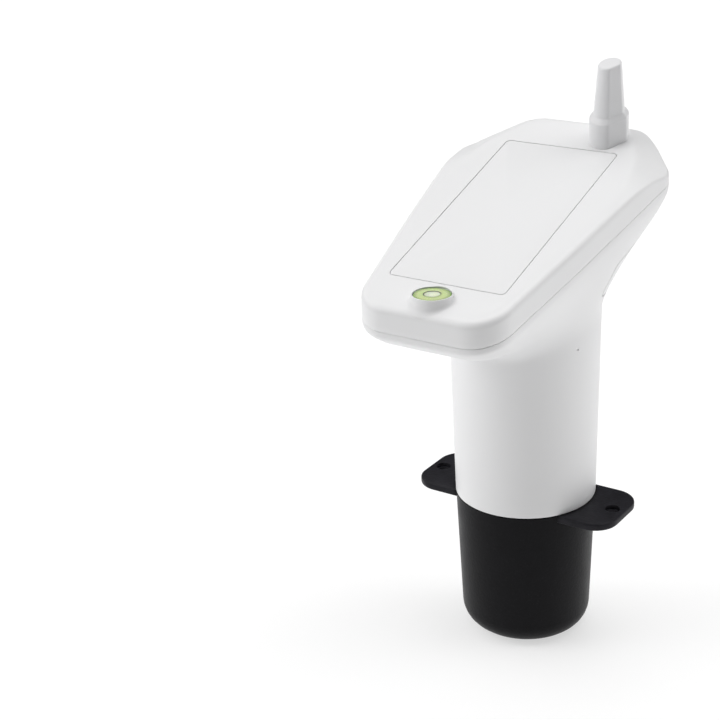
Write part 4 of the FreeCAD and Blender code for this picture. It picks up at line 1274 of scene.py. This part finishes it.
class GAUGE_OT_power(Piece, bpy.types.Operator):
    """Build the battery cells and springs, and finish tray, contacts, switch and button"""
    bl_idname = "gauge.power"
    bl_label = "Batteries and switch"

    def build(self):
        dress("battery_tray", "contact_plates", "switch_body", "pair_button")
        wrap = cell_wrap()
        for name, side in (("battery_lower", 1), ("battery_upper", -1)):
            finish(make_cell(name, side), wrap, "gauge", [name])
        steel = plastic("spring_steel", (0.66, 0.64, 0.60), (0.55, 0.53, 0.50), (0.2, 0.34), 0.0003, 0.000002,
                        0.002, 1.0, 0.00005)
        finish(make_springs(steel), steel, "gauge", ["contact_springs"])


class GAUGE_OT_electronics(Piece, bpy.types.Operator):
    """Finish the board with its parts, the antenna's rod and the lid's gasket"""
    bl_idname = "gauge.electronics"
    bl_label = "Electronics"

    def build(self):
        dress("main_board", "radio_module", "control_chip", "lead_socket", "antenna_rod", "cover_gasket")


class GAUGE_OT_sounder(Piece, bpy.types.Operator):
    """Finish the sounder, its sleeve, clamp and lead, and the cup's seal"""
    bl_idname = "gauge.sounder"
    bl_label = "Sounder"

    def build(self):
        dress("transducer", "transducer_sleeve", "clamp_ring", "sensor_lead", "cup_seal")


class GAUGE_OT_stage(Piece, bpy.types.Operator):
    """Lay the pale floor, light it softly and set the camera"""
    bl_idname = "gauge.stage"
    bl_label = "Stage"

    def build(self):
        make_floor()
        make_light()
        make_camera()


# Stage

def make_floor():
    """Wide pale floor under the cup."""
    floor = skin("floor", [level(circle(96) * r, FLOOR_Z) for r in FLOOR_RINGS] + [level(AXIS, FLOOR_Z)])
    paint = plastic("floor_paint", (0.45, 0.45, 0.45), (0.44, 0.44, 0.44), (0.7, 0.8), 0.01, 0.00001, 0.4,
                    specular=0.2)
    floor.data.materials.append(coat(paint, {"Emission Color": WHITE, "Emission Strength": FLOOR_GLOW}))


def box_direction(around, height):
    """Direction towards a soft box, by its angles seen from the camera's side."""
    ahead = Vector((VIEW[0], VIEW[1], 0)).normalized()
    right = Vector((ahead.y, -ahead.x, 0))
    around, height = math.radians(around), math.radians(height)
    side = (right * math.sin(around) - ahead * math.cos(around)) * math.cos(height)
    return side + Vector((0, 0, math.sin(height)))


def make_light():
    """Studio of far soft boxes, dim on the camera's side, before a white backdrop."""
    world = bpy.data.worlds.new("studio")
    world.use_nodes = True
    tree = world.node_tree
    place = node(tree, "TexCoord")
    total = 0.0
    for around, height, strength in SOFT_BOXES:
        facing = node(tree, "VectorMath", {0: place.outputs["Generated"], 1: box_direction(around, height)},
                      operation="DOT_PRODUCT")
        front = node(tree, "Math", {0: facing.outputs["Value"], 1: 0.0}, operation="MAXIMUM")
        lobe = node(tree, "Math", {0: front.outputs["Value"], 1: BOX_SHARPNESS}, operation="POWER")
        total = node(tree, "Math", {0: lobe.outputs["Value"], 1: strength, 2: total},
                     operation="MULTIPLY_ADD").outputs["Value"]
    boxes = fill(tree, tree.nodes["Background"], {"Color": WHITE, "Strength": total})
    seen = node(tree, "Background", {"Color": WHITE})
    path = node(tree, "LightPath")
    mix = node(tree, "MixShader", {"Fac": path.outputs["Is Camera Ray"], 1: boxes.outputs["Background"],
                                   2: seen.outputs["Background"]})
    fill(tree, tree.nodes["World Output"], {"Surface": mix.outputs["Shader"]})
    bpy.context.scene.world = world
    bpy.context.scene.view_settings.view_transform = "Standard"
    bpy.context.scene.view_settings.look = "None"


def make_camera():
    """Camera at the photograph's viewing angle, without shift or depth of field."""
    data = bpy.data.cameras.new("camera")
    data.lens = LENS
    data.sensor_width = SENSOR
    data.clip_start, data.clip_end = 0.01, 50.0
    ahead = Vector(VIEW).normalized()
    across = ahead.cross(Vector((0, 0, 1))).normalized()
    over = across.cross(ahead)
    right = across * math.cos(ROLL) + over * math.sin(ROLL)
    up = over * math.cos(ROLL) - across * math.sin(ROLL)
    place = Matrix((right, up, -ahead)).transposed().to_4x4()
    place.translation = Vector(EYE) * MM
    camera = bpy.data.objects.new("camera", data)
    camera.matrix_world = place
    bpy.context.scene.collection.objects.link(camera)
    bpy.context.scene.camera = camera


class GAUGE_PT_panel(bpy.types.Panel):
    """Sidebar panel with the gauge's sizes, colours and pieces"""
    bl_idname = "GAUGE_PT_panel"
    bl_label = "Level gauge"
    bl_space_type = "VIEW_3D"
    bl_region_type = "UI"
    bl_category = "Gauge"

    def draw(self, context):
        for heading, group in (("Sizes", context.scene.gauge_sizes), ("Colours", context.scene.gauge_colours)):
            box = self.layout.box()
            box.label(text=heading)
            for key in type(group).__annotations__:
                box.prop(group, key)
        column = self.layout.column(align=True)
        for operator in OPERATORS:
            column.operator(operator.bl_idname)


OPERATORS = (GAUGE_OT_housing, GAUGE_OT_door, GAUGE_OT_cover, GAUGE_OT_plate, GAUGE_OT_level,
             GAUGE_OT_antenna, GAUGE_OT_cup, GAUGE_OT_screws, GAUGE_OT_power, GAUGE_OT_electronics,
             GAUGE_OT_sounder, GAUGE_OT_stage)
CLASSES = (GaugeSizes, GaugeColours) + OPERATORS + (GAUGE_PT_panel,)


def register():
    for item in CLASSES:
        bpy.utils.register_class(item)
    bpy.types.Scene.gauge_sizes = PointerProperty(type=GaugeSizes)
    bpy.types.Scene.gauge_colours = PointerProperty(type=GaugeColours)


def unregister():
    del bpy.types.Scene.gauge_colours
    del bpy.types.Scene.gauge_sizes
    for item in reversed(CLASSES):
        bpy.utils.unregister_class(item)


def main():
    """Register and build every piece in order."""
    register()
    for operator in OPERATORS:
        family, name = operator.bl_idname.split(".")
        getattr(getattr(bpy.ops, family), name)()


if __name__ == "__main__":
    main()
